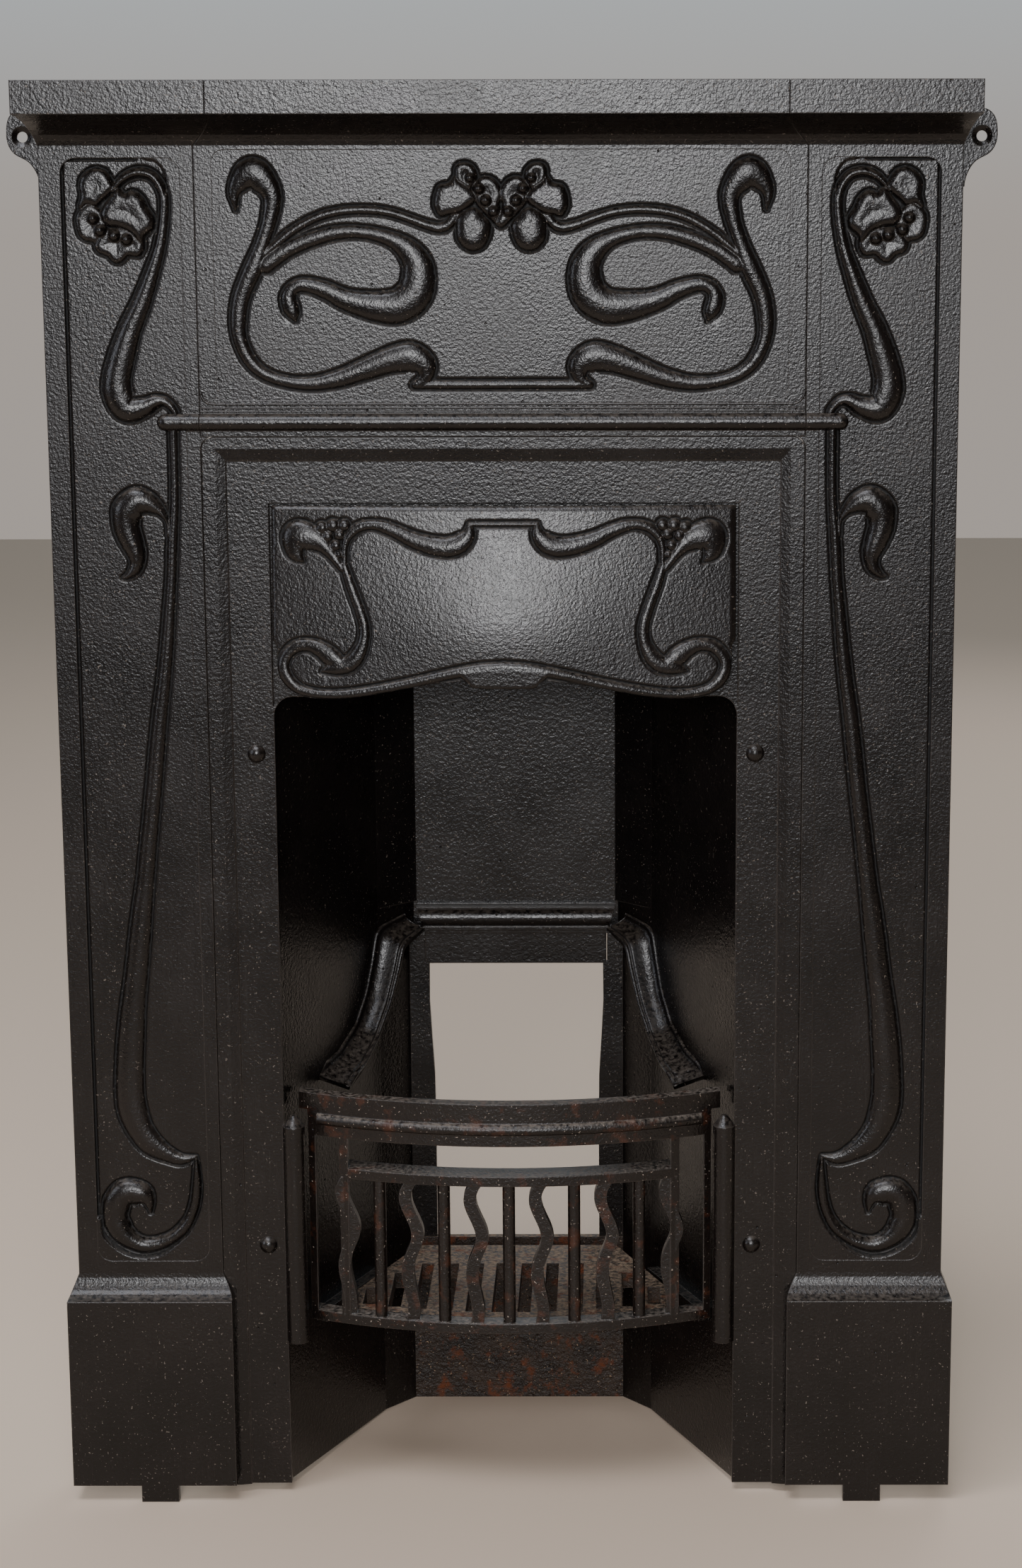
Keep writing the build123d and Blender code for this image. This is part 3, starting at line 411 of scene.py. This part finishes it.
def petalHeight(spots, petal):
    # a petal's edge is rolled over like a quarter round, and its middle is dished; also its distance outside
    outline, lift, edge, dish = petal
    distance = toOutline(spots, outline)
    rise = np.sqrt(1 - (1 - np.clip(distance / edge, 0, 1)) ** 2)
    sink = np.clip((distance - edge) / (relief["dishReach"] * edge), 0, 1)
    sink = sink ** 2 * (3 - 2 * sink)
    foot = relief["petalFoot"]
    inside = insidePolygon(spots, outline)
    return lift * (foot + (1 - foot) * rise) - dish * sink, np.where(inside, -distance, distance), inside


def profile(spots, stems, blobs, base, rim, petals=()):
    # height in mm over the face, and how far each spot is outside the nearest feature
    ground = base(spots)
    height = ground.copy()
    outside = np.full(len(spots), far)
    for petal in petals:
        over, gap, inside = petalHeight(spots, petal)
        outside = np.minimum(outside, gap)
        # the petals are listed from the back to the front, and each covers what is behind it
        height = np.where(inside, ground + over, height)
    for line in stems:
        distance, width = nearest(spots, line)
        outside = np.minimum(outside, distance - width)
        fixed, share = relief["crown"]
        crown = fixed * np.minimum(width / 2.0, 1.0) + share * width
        round_ = np.sqrt(np.clip(1 - (distance / width) ** 2, 0, 1))
        height = np.where(distance < width, np.maximum(height, ground + (crown - ground) * round_), height)
    for x, z, radius, top, squareness in blobs:
        distance = np.hypot(spots[:, 0] - x, spots[:, 1] - z)
        outside = np.minimum(outside, distance - radius)
        dome = np.clip(1 - (distance / radius) ** squareness, 0, 1) ** 0.5
        height = np.where(distance < radius, np.maximum(height, ground + (top - ground) * dome), height)
    outside = np.where(outside > 0, np.minimum(outside, rim(spots)), outside)
    slope = np.clip((outside - relief["moatWidthMm"]) / relief["moatSlopeMm"], 0, 1)
    depth = relief["moatMm"] * (1 - slope)
    return np.where(outside > 0, height - depth, height), outside


def flatGround(spots):
    return np.zeros(len(spots))


def noRim(spots):
    return np.full(len(spots), far)


def squareGrid(low, high, step):
    gx, gz = np.meshgrid(np.arange(low[0], high[0], step), np.arange(low[1], high[1], step))
    return np.stack([gx.ravel(), gz.ravel()], 1)


def skin(outline, stems, blobs, base=flatGround, rim=noRim, extra=(), petals=()):
    # triangulated relief inside the outline: corners (x, z), faces, heights and distance outside the features;
    # base gives the ground's height and rim the distance from a field's sunk edge, both in mm
    outline = np.array(outline, float)
    spots = [rails(line, relief["outside"]) for line in stems]
    for x, z, radius, *_ in blobs:
        for reach in list(np.arange(0.25, 1.0, 0.12) * radius) + [radius + out for out in relief["outside"]]:
            turns = np.linspace(0, 2 * np.pi, max(6, int(2 * np.pi * reach / relief["railMm"])), endpoint=False)
            spots.append(np.array([x, z]) + reach * np.stack([np.cos(turns), np.sin(turns)], 1))
    spots += [np.array(more, float) for more in extra]
    for petal in petals:
        # a close grid over the whole petal, and rows along both sides of its edge
        points = petal[0]
        grid = squareGrid(points.min(0), points.max(0), relief["petalMm"])
        spots.append(grid[insidePolygon(grid, points)])
        across = sideways(points, closed=True)
        for out in (0.2, *relief["outside"][1:], relief["petalRow"]):
            spots += [points + across * out, points - across * out]
    fine = thinned(np.vstack(spots), relief["thinMm"])
    step = relief["groundMm"]
    coarse = squareGrid(outline.min(0) + step / 2, outline.max(0), step)
    coarse = coarse[profile(coarse, stems, blobs, base, rim, petals)[1] > relief["outside"][-1] + relief["quietMm"]]
    spots = np.vstack([fine, coarse])
    spots = spots[insidePolygon(spots, outline)]
    spots = spots[toOutline(spots, outline) > relief["clearMm"]]
    everything = np.vstack([outline, spots])
    ring = list(range(len(outline)))
    found = delaunay_2d_cdt([Vector(p) for p in everything.tolist()], [], [ring], 1, 1e-5)
    flat, faces = np.array([v[:] for v in found[0]]), found[2]
    heights, outside = profile(flat, stems, blobs, base, rim, petals)
    return flat, faces, heights, outside


def crestOf(heights, outside):
    # +1 on a stem's crown, -1 in the line sunk round it, where the finish paints shade and blacking
    crown = np.clip(heights / relief["polishedMm"], 0, 1) * (outside < 0)
    sunk = np.clip(1.0 - outside / relief["blackingAndShadeMm"], 0, 1) * (outside >= 0)
    return crown - sunk


def castMesh(name, corners, faces, finish, body, crest=None):
    # smooth mesh piece from corners in mm, with its height over the face kept for the finish
    mesh = bpy.data.meshes.new(name)
    mesh.from_pydata((np.asarray(corners) * mm).tolist(), [], [tuple(face) for face in faces])
    mesh.polygons.foreach_set("use_smooth", [True] * len(mesh.polygons))
    if crest is not None:
        mesh.attributes.new("crest", "FLOAT", "POINT").data.foreach_set("value", np.asarray(crest, np.float32))
    mesh.materials.append(finishes[finish])
    mesh.update()
    piece = bpy.data.objects.new(name, mesh)
    bpy.context.scene.collection.objects.link(piece)
    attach(piece, body)
    return piece


def roundedOutline(left, right, low, high, corner, step=3.0):
    # closed outline of a sunk field with rounded corners
    points = []
    for x, z, turn in ((right - corner, high - corner, 0), (left + corner, high - corner, 90),
                       (left + corner, low + corner, 180), (right - corner, low + corner, 270)):
        for degrees in range(0, 91, 9):
            angle = math.radians(turn + degrees)
            points.append((x + corner * math.cos(angle), z + corner * math.sin(angle)))
    closed = points + points[:1]
    outline = []
    for (x1, z1), (x2, z2) in zip(closed, closed[1:]):
        count = max(1, int(math.hypot(x2 - x1, z2 - z1) / step))
        outline += [(x1 + (x2 - x1) * i / count, z1 + (z2 - z1) * i / count) for i in range(count)]
    return outline


def mirrored(rows):
    return [tuple([-row[0], *row[1:]]) for row in rows]


def flipped(line):
    turned = line.copy()
    turned[:, 0] *= -1
    return turned


# Frieze: whiplash stems that end in leaf curls, and two flowers that meet in the middle
friezeArt = {
    "field": (-187.0, 187.0, 764.0, 924.0, 8.0),
    "stems": (
        ((-172, 886, 0.5), (-172, 899, 4.3), (-160.7, 909.4, 9.6), (-148.8, 896.8, 6.2), (-150, 881, 4.8),
         (-154.8, 866.3, 4.4), (-161.5, 849, 5.8), (-169.3, 831.5, 5.3), (-172, 816, 5), (-171.2, 803, 4.2),
         (-165.5, 790, 4), (-156, 781, 3.6), (-142, 776, 3.5), (-125, 774.5, 4.2), (-108, 777.5, 5.3),
         (-92, 783, 6.5), (-74, 789.5, 8), (-60, 791.5, 9.3), (-51, 786, 7.5), (-51, 778, 4.4), (-57, 773.6, 2.4)),
        ((-153, 851, 5), (-140, 860, 4.5), (-124, 867, 4.3), (-106, 871.5, 4), (-88, 871.5, 3.7), (-71, 867, 4.7),
         (-60, 859.5, 7.5), (-54.3, 848.5, 9.7), (-56, 834, 11), (-66, 825, 11), (-80, 824, 9.5), (-100, 828, 6.7),
         (-115.5, 835, 5.2), (-129, 838.3, 4.3), (-136.5, 835.5, 4), (-139, 830, 4.7), (-138, 824.5, 5),
         (-136, 819.5, 4), (-134.6, 815, 0.5)),
        ((-155, 857, 2.3), (-149, 862, 2.3), (-135, 873, 2.3), (-120, 881, 2.3), (-105, 885, 2.3), (-89, 886, 2.3),
         (-74, 884.6, 2.3), (-61.5, 881, 2.3), (-49, 876.5, 2.5), (-40, 874.6, 2.8), (-34, 877, 2.9), (-29, 883, 3.2)),
    ),
    "bar": ((-57, 773.8, 2.6), (0, 773.8, 2.6), (57, 773.8, 2.6)),
    # outline, height, width of the rolled edge and depth of the dish of each petal, from the back to the front
    "petals": (
        (((-18.5, 900.5), (-14.5, 905.4), (-9.2, 907.1), (-3.8, 904.8), (0.2, 898.6), (0.6, 893.9), (-1.1, 889.1),
          (1.6, 882.3), (3.0, 878.2), (0.2, 874.6), (-3.1, 876.3), (-6.5, 879.5), (-9.8, 882.6), (-16, 890)),
         3.4, 3.4, 0.7),
        (((-29.3, 905), (-29.3, 912.9), (-25.9, 915.6), (-20.6, 915.4), (-16.5, 911.6), (-15.5, 906.1), (-19, 900),
          (-25, 898)), 3.6, 2.8, 1.2),
        (((-42.7, 886.4), (-43.4, 892), (-40.5, 901), (-33.5, 903.2), (-29.6, 907.5), (-27.3, 904.8), (-19.9, 899.3),
          (-15.9, 894.5), (-17.2, 891.1), (-22.9, 886.4), (-28, 884), (-33.6, 883), (-39.3, 881.8)), 4.6, 5.0, 0.0),
        (((-25, 884.5), (-19.2, 887.2), (-14.5, 886.2), (-11.5, 882.6), (-8.6, 879.6), (-6.8, 875.5), (-8.2, 868),
          (-12, 862), (-18, 859.8), (-24, 861.8), (-28.4, 867.5), (-29, 874), (-28.6, 880)), 5.4, 8.0, 0.0),
    ),
    # x, z, radius, height, squareness of each swelling
    "berries": ((-19.9, 906.1, 3.7, 7.0, 2), (-14.2, 899.3, 4.1, 7.4, 2), (-9.8, 891.8, 4.3, 7.4, 2),
                (-4.8, 885.0, 4.1, 7.0, 2)),
}

# Jambs: a sunk field whose right-hand edge is the long stem, a hanging flower, a leaf curl and a scroll
jambArt = {
    "field": (-285.0, -208.0, 172.0, 919.0, 10.0), "headRight": -236.0, "longStemTop": 744.0,
    "rimRows": (-2.2, -1.2, -0.3, 0.3, 1.2, 2.2), "insetRows": (0.6, 1.25, 1.75, 2.6),
    "sunk": 2.5,
    "stems": (
        ((-251.5, 898.5, 1.5), (-244, 906.5, 2.6), (-234.5, 910, 3), (-225, 907, 3), (-219, 896.5, 3),
         (-219, 881.5, 3), (-222.5, 862, 3.6), (-229, 843, 4.8), (-235.5, 826, 6), (-243, 810, 7),
         (-248.5, 794, 8.3), (-252.5, 779, 8.9), (-252.5, 768, 9.5), (-247, 758, 8.5), (-236, 759, 6),
         (-227, 763, 4), (-221, 762.5, 2.8), (-215.8, 757, 2.2), (-214.8, 752, 2)),
        ((-216.6, 752, 2.7), (-216.8, 744, 2.7), (-217.2, 700, 2.6), (-219.6, 669, 3.3), (-220.6, 650, 3.2),
         (-222, 634, 3.4), (-225, 602, 4), (-228.2, 575, 4.4), (-230.9, 556, 4.8), (-234, 530, 5.1),
         (-236.5, 507, 5.2), (-239.3, 484, 5.3), (-242, 462, 5.5), (-244.6, 440, 5.8), (-247.5, 419, 6.6),
         (-249.8, 400, 7.2), (-252.5, 377, 7.5), (-255.5, 355, 8.2), (-257.9, 331, 9.1), (-259.4, 310, 9.4),
         (-259.8, 291, 9.8), (-258, 278, 10), (-253.5, 266, 9), (-246, 255.5, 8.3), (-233.5, 247.5, 5.5),
         (-225, 244.8, 4), (-215.8, 247, 1.0)),
        ((-221.8, 675, 1.2), (-222.3, 684, 1.3), (-226, 690, 2.6), (-229.5, 693.2, 4.5), (-235, 696.5, 7),
         (-241.5, 697.5, 9.3), (-246, 694.5, 10), (-249, 690.5, 10), (-250, 686, 8.8), (-249.5, 679, 8.2),
         (-247, 671.5, 7.5), (-244.2, 664, 6.3), (-243.5, 657.5, 4.6), (-245.5, 652, 3.6), (-250, 648, 1.8),
         (-253, 647, 0.5)),
        ((-215.5, 246, 1), (-215.6, 226.5, 2.9), (-217.3, 213.3, 3.3), (-221.1, 202.3, 3.3), (-226.5, 194.2, 3.9),
         (-234.1, 188, 3.9), (-243, 183.9, 4.7), (-252.4, 182.4, 5.5), (-260.4, 185, 6.3), (-267.4, 190.4, 7.6),
         (-271.5, 197.5, 8.5), (-273, 203, 8.3), (-272, 212, 9), (-269, 217.8, 8.9), (-265.5, 220.5, 9.2),
         (-260.8, 221.3, 8.8), (-253.5, 219, 8), (-249.5, 214.5, 4), (-248, 206.5, 0.5)),
    ),
    # outline of the sunk part inside the pocket: it runs under the stems on the right
    "sunkTop": ((-300, 930), (-231, 930), (-230, 919), (-224, 917.6), (-219.5, 913.6), (-216.9, 908), (-216.2, 902),
                (-217.5, 893), (-219, 881.5), (-222.5, 862), (-229, 843), (-235.5, 826), (-243, 810), (-248.5, 794),
                (-252.5, 779), (-252.5, 768), (-247, 758), (-236, 759), (-227, 763), (-221, 762.5), (-215.8, 757),
                (-215.6, 750)),
    "sunkFoot": ((-215.2, 247.1), (-212.3, 238.5), (-211.5, 226.9), (-213.3, 212.5), (-217.1, 201), (-222.9, 191.3),
                 (-231.5, 182.7), (-241.2, 176), (-252.7, 173.5), (-262.3, 175), (-272.9, 180.8), (-281.5, 190.4),
                 (-284.4, 203.8), (-300, 205)),
    "petals": (
        (((-273.8, 886), (-276, 881.5), (-275.8, 876), (-274.2, 870.2), (-270.5, 867), (-266.8, 866.2), (-262.5, 865.5),
          (-257, 872), (-257, 882), (-262, 888), (-268, 890)), 3.0, 3.2, 0.8),
        (((-263.5, 866), (-264, 862), (-261.6, 858.8), (-256.5, 856.8), (-252.7, 852.9), (-249, 852.3),
          (-245.7, 854.2), (-242.5, 857), (-236.9, 856.5), (-233.8, 858.3), (-231.8, 863.5), (-233.5, 869),
          (-243, 874), (-256, 874)), 3.4, 3.4, 0.8),
        (((-251, 903.8), (-255.1, 910.4), (-259.8, 912.6), (-265.4, 912.1), (-270.9, 907.9), (-273, 902.5),
          (-272.4, 894.9), (-274, 889), (-272.4, 886.8), (-268.2, 889.9), (-264.4, 888.9), (-261.6, 888.9),
          (-257.9, 892.5), (-254, 895.5), (-250, 900)), 4.4, 4.6, 0.4),
        (((-254.4, 893), (-259.3, 885.4), (-258.8, 880.2), (-255.5, 876.4), (-249, 875.2), (-242.9, 873.3),
          (-239.2, 870.4), (-234.4, 865.2), (-232.2, 866.2), (-231.2, 869.7), (-226.6, 873.5), (-224.9, 877),
          (-225.2, 881.4), (-229.4, 888.2), (-231.4, 893), (-235.6, 897.2), (-240.1, 898.1), (-243.6, 896.5),
          (-248, 900)), 6.0, 5.4, 0.9),
    ),
    "berries": ((-264.2, 880.6, 4.2, 5.0, 2), (-259.8, 873.0, 4.4, 5.0, 2), (-250.9, 869.7, 4.4, 5.0, 2),
                (-242.9, 867.3, 4.4, 5.0, 2)),
}


def frieze():
    left = [smoothLine(stem, relief["railMm"]) for stem in friezeArt["stems"]]
    stems = left + [flipped(line) for line in left] + [smoothLine(friezeArt["bar"], 2.0)]
    blobs = list(friezeArt["berries"])
    blobs += mirrored(blobs)
    petals = [(closedLine(points, relief["railMm"]), *form) for points, *form in friezeArt["petals"]]
    petals += [(flipped(points), *form) for points, *form in petals]
    flat, faces, heights, outside = skin(roundedOutline(*friezeArt["field"]), stems, blobs, petals=petals)
    corners = np.stack([flat[:, 0], -heights, flat[:, 1]], 1)
    castMesh("friezeRelief", corners, [face[::-1] for face in faces], "face", "surround",
             crestOf(heights, outside))


def jambs():
    stems = [smoothLine(stem, relief["railMm"]) for stem in jambArt["stems"]]
    long = stems[1][:, :2]
    under = np.vstack([smoothLine(jambArt["sunkTop"], 1.5), long[long[:, 1] < jambArt["longStemTop"]],
                       smoothLine(jambArt["sunkFoot"], 1.5)])
    rim = smoothLine(jambArt["sunkTop"], 1.0)
    foot = smoothLine(jambArt["sunkFoot"], 1.0)
    extra = []
    for line in (rim, foot):
        across = sideways(line)
        extra += [line + across * out for out in jambArt["rimRows"]]
    left, right, low, high, corner = jambArt["field"]
    for inset in jambArt["insetRows"]:
        extra.append(roundedOutline(left + inset, right - inset, low + inset, high - inset, corner - inset, 1.5))
    footRun = np.hstack([foot, np.ones((len(foot), 1))])

    def base(spots):
        return np.where(insidePolygon(spots, under), -jambArt["sunk"], 0.0)

    def rimOf(spots):
        # the sunk field is cut deeper along its left, top and foot, and the painted shade of the sunk lines runs along
        # these edges
        toFoot = nearest(spots, footRun)[0]
        toHead = np.where(spots[:, 0] < jambArt["headRight"], high - spots[:, 1], far)
        gap = np.minimum(np.minimum(spots[:, 0] - left, toHead), toFoot)
        return np.where(insidePolygon(spots, under), gap, far)

    petals = [(closedLine(points, relief["railMm"]), *form) for points, *form in jambArt["petals"]]
    flat, faces, heights, outside = skin(roundedOutline(*jambArt["field"]), stems, jambArt["berries"],
                                         base, rimOf, extra, petals)
    crest = crestOf(heights, outside)
    for name, side in (("leftJambRelief", 1), ("rightJambRelief", -1)):
        corners = np.stack([side * flat[:, 0], -heights, flat[:, 1]], 1)
        castMesh(name, corners, [face[::-side] for face in faces], "face", "surround", crest)


# Hood: bowed plate that leans with its lower edge forward, its ornament drawn flat and brought on to the bow
hoodArt = {
    "halfWidth": 153.6, "top": 694.6, "foot": 560.0, "sideY": 2.0, "bow": 10.0, "leanDegrees": 5.0, "wall": 5.0,
    "belly": 4.2, "bellyHeight": 612.0, "bellySpread": (78.0, 46.0),
    "narrowed": 0.992, "inwards": 0.7, "raised": 0.0093, "eyeHeight": 852.0,
    "edge": ((-153.0, 600), (-152.8, 592), (-152.6, 584), (-149.5, 576), (-142, 569.3), (-131, 565.6), (-114, 565),
             (-95, 567), (-75, 570.8), (-50, 575.4), (-30, 577.9)),
    "tab": ((-25.8, 577.9), (-24, 576.5), (-22.5, 573.8), (-20.5, 573.1), (-10, 573.0)),
    # outline, height, rolled edge and dish of the lip that thickens the rod in the middle
    "lip": (((-34, 584), (-29, 580.5), (-25.5, 577.2), (-22.5, 573.9), (-16, 572.6), (0, 572.4), (16, 572.6),
             (22.5, 573.9), (25.5, 577.2), (29, 580.5), (34, 584), (20, 587), (0, 588), (-20, 587)), 2.0, 3.0, 0.0),
    "stems": (
        ((0, 587, 3.8), (-20, 585.6, 3.5), (-42.5, 581.2, 3.1), (-67.5, 575.4, 3.0), (-92.5, 570.6, 2.9),
         (-111, 568.4, 2.7), (-126, 568.6, 2.7), (-138, 571.5, 3.1), (-145.5, 578, 3.6), (-148.6, 585.5, 3.6),
         (-147.3, 592.5, 3.6), (-141, 599.3, 3.9), (-132, 601, 4), (-124, 598.5, 5), (-117, 593.5, 6), (-112, 590, 5)),
        ((-107, 654, 2.4), (-102.5, 640, 3), (-97.5, 626.5, 3.2), (-94, 614, 3.3), (-94.5, 604, 3.6),
         (-98.5, 594.5, 4.8), (-104.5, 588.5, 5.2), (-113, 586.5, 5), (-120, 584.5, 2.2), (-122.5, 583.5, 0.5)),
        ((-134.5, 656.5, 0.7), (-138, 660, 4.3), (-140, 665, 7), (-138, 673, 10.3), (-128.5, 671.8, 8.3),
         (-122, 668, 5.5), (-117.5, 663.8, 3.7), (-113, 658, 2.6), (-108.5, 652.5, 2.4)),
        ((-106.5, 655, 1.4), (-106.5, 665.5, 1.9), (-104.5, 672, 2.4), (-100.3, 677, 2.9), (-95, 680, 3),
         (-87.5, 681, 3), (-79.5, 679.5, 3.8), (-70.5, 676, 4.2), (-61.5, 671.7, 5), (-50, 668, 5.8),
         (-40, 666.5, 6.3), (-32.5, 667.5, 6.5), (-27, 671, 5.8), (-23.5, 676, 4), (-23.3, 682, 0.8)),
    ),
    "line": ((-22, 681.6, 1.1), (0, 681.6, 1.1), (22, 681.6, 1.1)),
    "berries": ((-121.7, 678.9, 4.0, 2.6, 2), (-114.4, 680.4, 4.2, 2.8, 2), (-106.6, 680.6, 3.8, 2.6, 2),
                (-117.8, 673.3, 3.6, 2.6, 2), (-110.0, 674.4, 3.7, 2.8, 2), (-112.5, 667.2, 3.5, 2.4, 2),
                (-110.6, 661.2, 2.4, 1.8, 2)),
}


def onBow(flat, height):
    # places (x, z) and a height over the face on the bowed, leaning plate
    radius = (hoodArt["halfWidth"] ** 2 + hoodArt["bow"] ** 2) / (2 * hoodArt["bow"])
    lean = math.radians(hoodArt["leanDegrees"])
    x, z = flat[:, 0], flat[:, 1]
    local = radius - hoodArt["bow"] - np.sqrt(radius ** 2 - x ** 2)
    down = (z - hoodArt["top"] + local * math.sin(lean)) / math.cos(lean)
    y = hoodArt["sideY"] + local * math.cos(lean) + down * math.sin(lean)
    across, upright = hoodArt["bellySpread"]
    belly = hoodArt["belly"] * np.exp(-(x / across) ** 2 - ((z - hoodArt["bellyHeight"]) / upright) ** 2)
    return np.stack([x, y - belly - height, z], 1)


def hood():
    def placed(points):
        rows = np.array(points, float)
        rows[:, 0] = rows[:, 0] * hoodArt["narrowed"] + hoodArt["inwards"] * (rows[:, 0] < -1)
        rows[:, 1] += (hoodArt["eyeHeight"] - rows[:, 1]) * hoodArt["raised"]
        return rows

    half, top = hoodArt["halfWidth"], hoodArt["top"]
    left = [smoothLine(placed(stem), relief["railMm"]) for stem in hoodArt["stems"]]
    stems = left + [flipped(line) for line in left] + [smoothLine(placed(hoodArt["line"]), 2.0)]
    lip, *form = hoodArt["lip"]
    petals = [(closedLine(placed(lip), relief["railMm"]), *form)]
    blobs = [tuple(row) for row in placed(hoodArt["berries"])]
    blobs += mirrored(blobs)
    edge = np.vstack([smoothLine(placed(hoodArt["edge"]), 2.0), placed(hoodArt["tab"])])
    side = np.array([(-half, z) for z in np.arange(top - 4, 603, -4)])
    head = np.array([(x, top) for x in np.arange(0, -half - 0.1, -half / 40)])
    leftHalf = np.vstack([head, side, edge])
    outline = np.vstack([leftHalf, (0.0, leftHalf[-1, 1]), flipped(leftHalf[1:][::-1])])
    flat, faces, heights, outside = skin(outline, stems, blobs, petals=petals)
    front = onBow(flat, heights)
    rim = len(outline)
    grid = squareGrid((-half, hoodArt["foot"]), (half, top), relief["groundMm"])
    grid = grid[insidePolygon(grid, outline)]
    inner = nearest(grid, np.hstack([outline, np.ones((rim, 1))]))[0] > 2.0
    backFlat = np.vstack([outline, grid[inner]])
    found = delaunay_2d_cdt([Vector(p) for p in backFlat.tolist()], [], [list(range(rim))], 1, 1e-5)
    backFlat = np.array([v[:] for v in found[0]])
    back = onBow(backFlat, np.full(len(backFlat), -hoodArt["wall"]))
    start = len(front)
    corners = np.vstack([front, back])
    frontFaces = [face[::-1] for face in faces]
    backFaces = [tuple(start + i for i in face) for face in found[2]]
    # side wall between the two rims; the outline's points come first in both
    walls = [(i, (i + 1) % rim, start + (i + 1) % rim, start + i) for i in range(rim)]
    crest = np.concatenate([crestOf(heights, outside), np.zeros(len(back))])
    plate = castMesh("hoodPlate", corners, frontFaces + backFaces + walls, "face", "hood", crest)
    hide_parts("canopy")


# Arms of the firebox: a hollow moulding between two ribs, swept from the cornice down to the front bars
armArt = {
    # outer and inner point of the front edge at each station, the same as in the casting
    "stations": (((84, 164.5, 378), (69.3, 163.5, 367)), ((102, 148, 371), (81, 146, 360)),
                 ((105, 141, 350), (84.5, 140, 343)), ((109, 131, 329), (90.5, 130, 320)),
                 ((116, 115, 308), (98.5, 114, 299)), ((127, 88, 294), (107.5, 88, 284)),
                 ((139, 60, 288), (115, 61, 279))),
    # share of the width, and how far in front of the casting
    "section": ((-0.03, -3.0), (-0.03, 4.2), (0.0, 5.4), (0.05, 5.8), (0.10, 5.4), (0.125, 4.0), (0.17, 3.0),
                (0.28, 2.4), (0.42, 2.4), (0.56, 3.0), (0.68, 4.1), (0.78, 5.3), (0.84, 5.4), (0.86, 4.2),
                (0.88, 4.2), (0.91, 5.6), (0.965, 5.9), (1.015, 5.4), (1.03, 4.4), (1.03, -3.0)),
    "step": 1.0, "blend": 5, "fade": 14.0,
}


def arms():
    stations = np.array([[*outer, *inner] for outer, inner in armArt["stations"]], float)
    reach = np.concatenate([[0], np.cumsum(np.linalg.norm(np.diff(stations[:, :3], axis=0), axis=1))])
    places = np.arange(0, reach[-1], armArt["step"])
    walk = np.stack([np.interp(places, reach, column) for column in stations.T], 1)
    # the turns at the stations are rounded by averaging over a few steps
    blend = armArt["blend"]
    padded = np.pad(walk, ((blend, blend), (0, 0)), mode="reflect", reflect_type="odd")
    walk = np.mean([padded[i:i + len(walk)] for i in range(2 * blend + 1)], axis=0)
    shares, proud = np.array(armArt["section"]).T
    outer, inner = walk[:, None, :3], walk[:, None, 3:]
    corners = outer + (inner - outer) * shares[None, :, None]
    # the section stands square to the arm's own front
    front = np.cross(np.gradient(walk[:, :3], axis=0), walk[:, 3:] - walk[:, :3])
    front /= np.linalg.norm(front, axis=1)[:, None]
    front *= np.sign(front[:, 2:3] - front[:, 1:2])
    # and runs out into the casting behind the front bars
    fade = np.clip((reach[-1] - places) / armArt["fade"], 0.05, 1)
    corners += front[:, None, :] * np.where(proud > 0, fade[:, None] * proud, proud)[:, :, None]
    rows, columns = corners.shape[:2]
    faces = [(r * columns + c, r * columns + c + 1, (r + 1) * columns + c + 1, (r + 1) * columns + c)
             for r in range(rows - 1) for c in range(columns - 1)]
    faces += [tuple(range(columns)), tuple((rows - 1) * columns + c for c in reversed(range(columns)))]
    flat = corners.reshape(-1, 3)
    for name, side in (("rightArmMoulding", 1), ("leftArmMoulding", -1)):
        castMesh(name, flat * (side, 1, 1), [face[::side] for face in faces], "firebox", "surround")


# Reeds: fine half-round lines under the frieze's panel, over the bead rod
reedArt = {"heights": (756.4, 758.7), "halfRun": 197.8, "radius": 0.7, "panelFoot": 761.2, "panelCorner": 8.0,
           "panelRadius": 0.9}


def reeds():
    half = reedArt["halfRun"]
    runs = [([(-half, z), (half, z)], reedArt["radius"]) for z in reedArt["heights"]]
    corner, foot = reedArt["panelCorner"], reedArt["panelFoot"]
    bend = [(half - corner + corner * math.sin(math.radians(a)),
             foot + corner - corner * math.cos(math.radians(a))) for a in range(0, 91, 15)]
    runs.append(([(-x, z) for x, z in reversed(bend)] + bend, reedArt["panelRadius"]))
    for index, (points, radius) in enumerate(runs):
        curve = bpy.data.curves.new("friezeReed", "CURVE")
        curve.dimensions, curve.bevel_depth, curve.bevel_resolution = "3D", radius * mm, 2
        curve.use_fill_caps = True
        spline = curve.splines.new("POLY")
        spline.points.add(len(points) - 1)
        for point, (x, z) in zip(spline.points, points):
            point.co = (x * mm, 0.0, z * mm, 1.0)
        curve.materials.append(finishes["face"])
        reed = bpy.data.objects.new(f"friezeReed{index + 1}", curve)
        bpy.context.scene.collection.objects.link(reed)
        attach(reed, "surround")


frieze()
jambs()
print("relief of the frieze and the jambs")
reeds()
hood()
print("reeds and hood")
arms()
print("arms of the firebox")
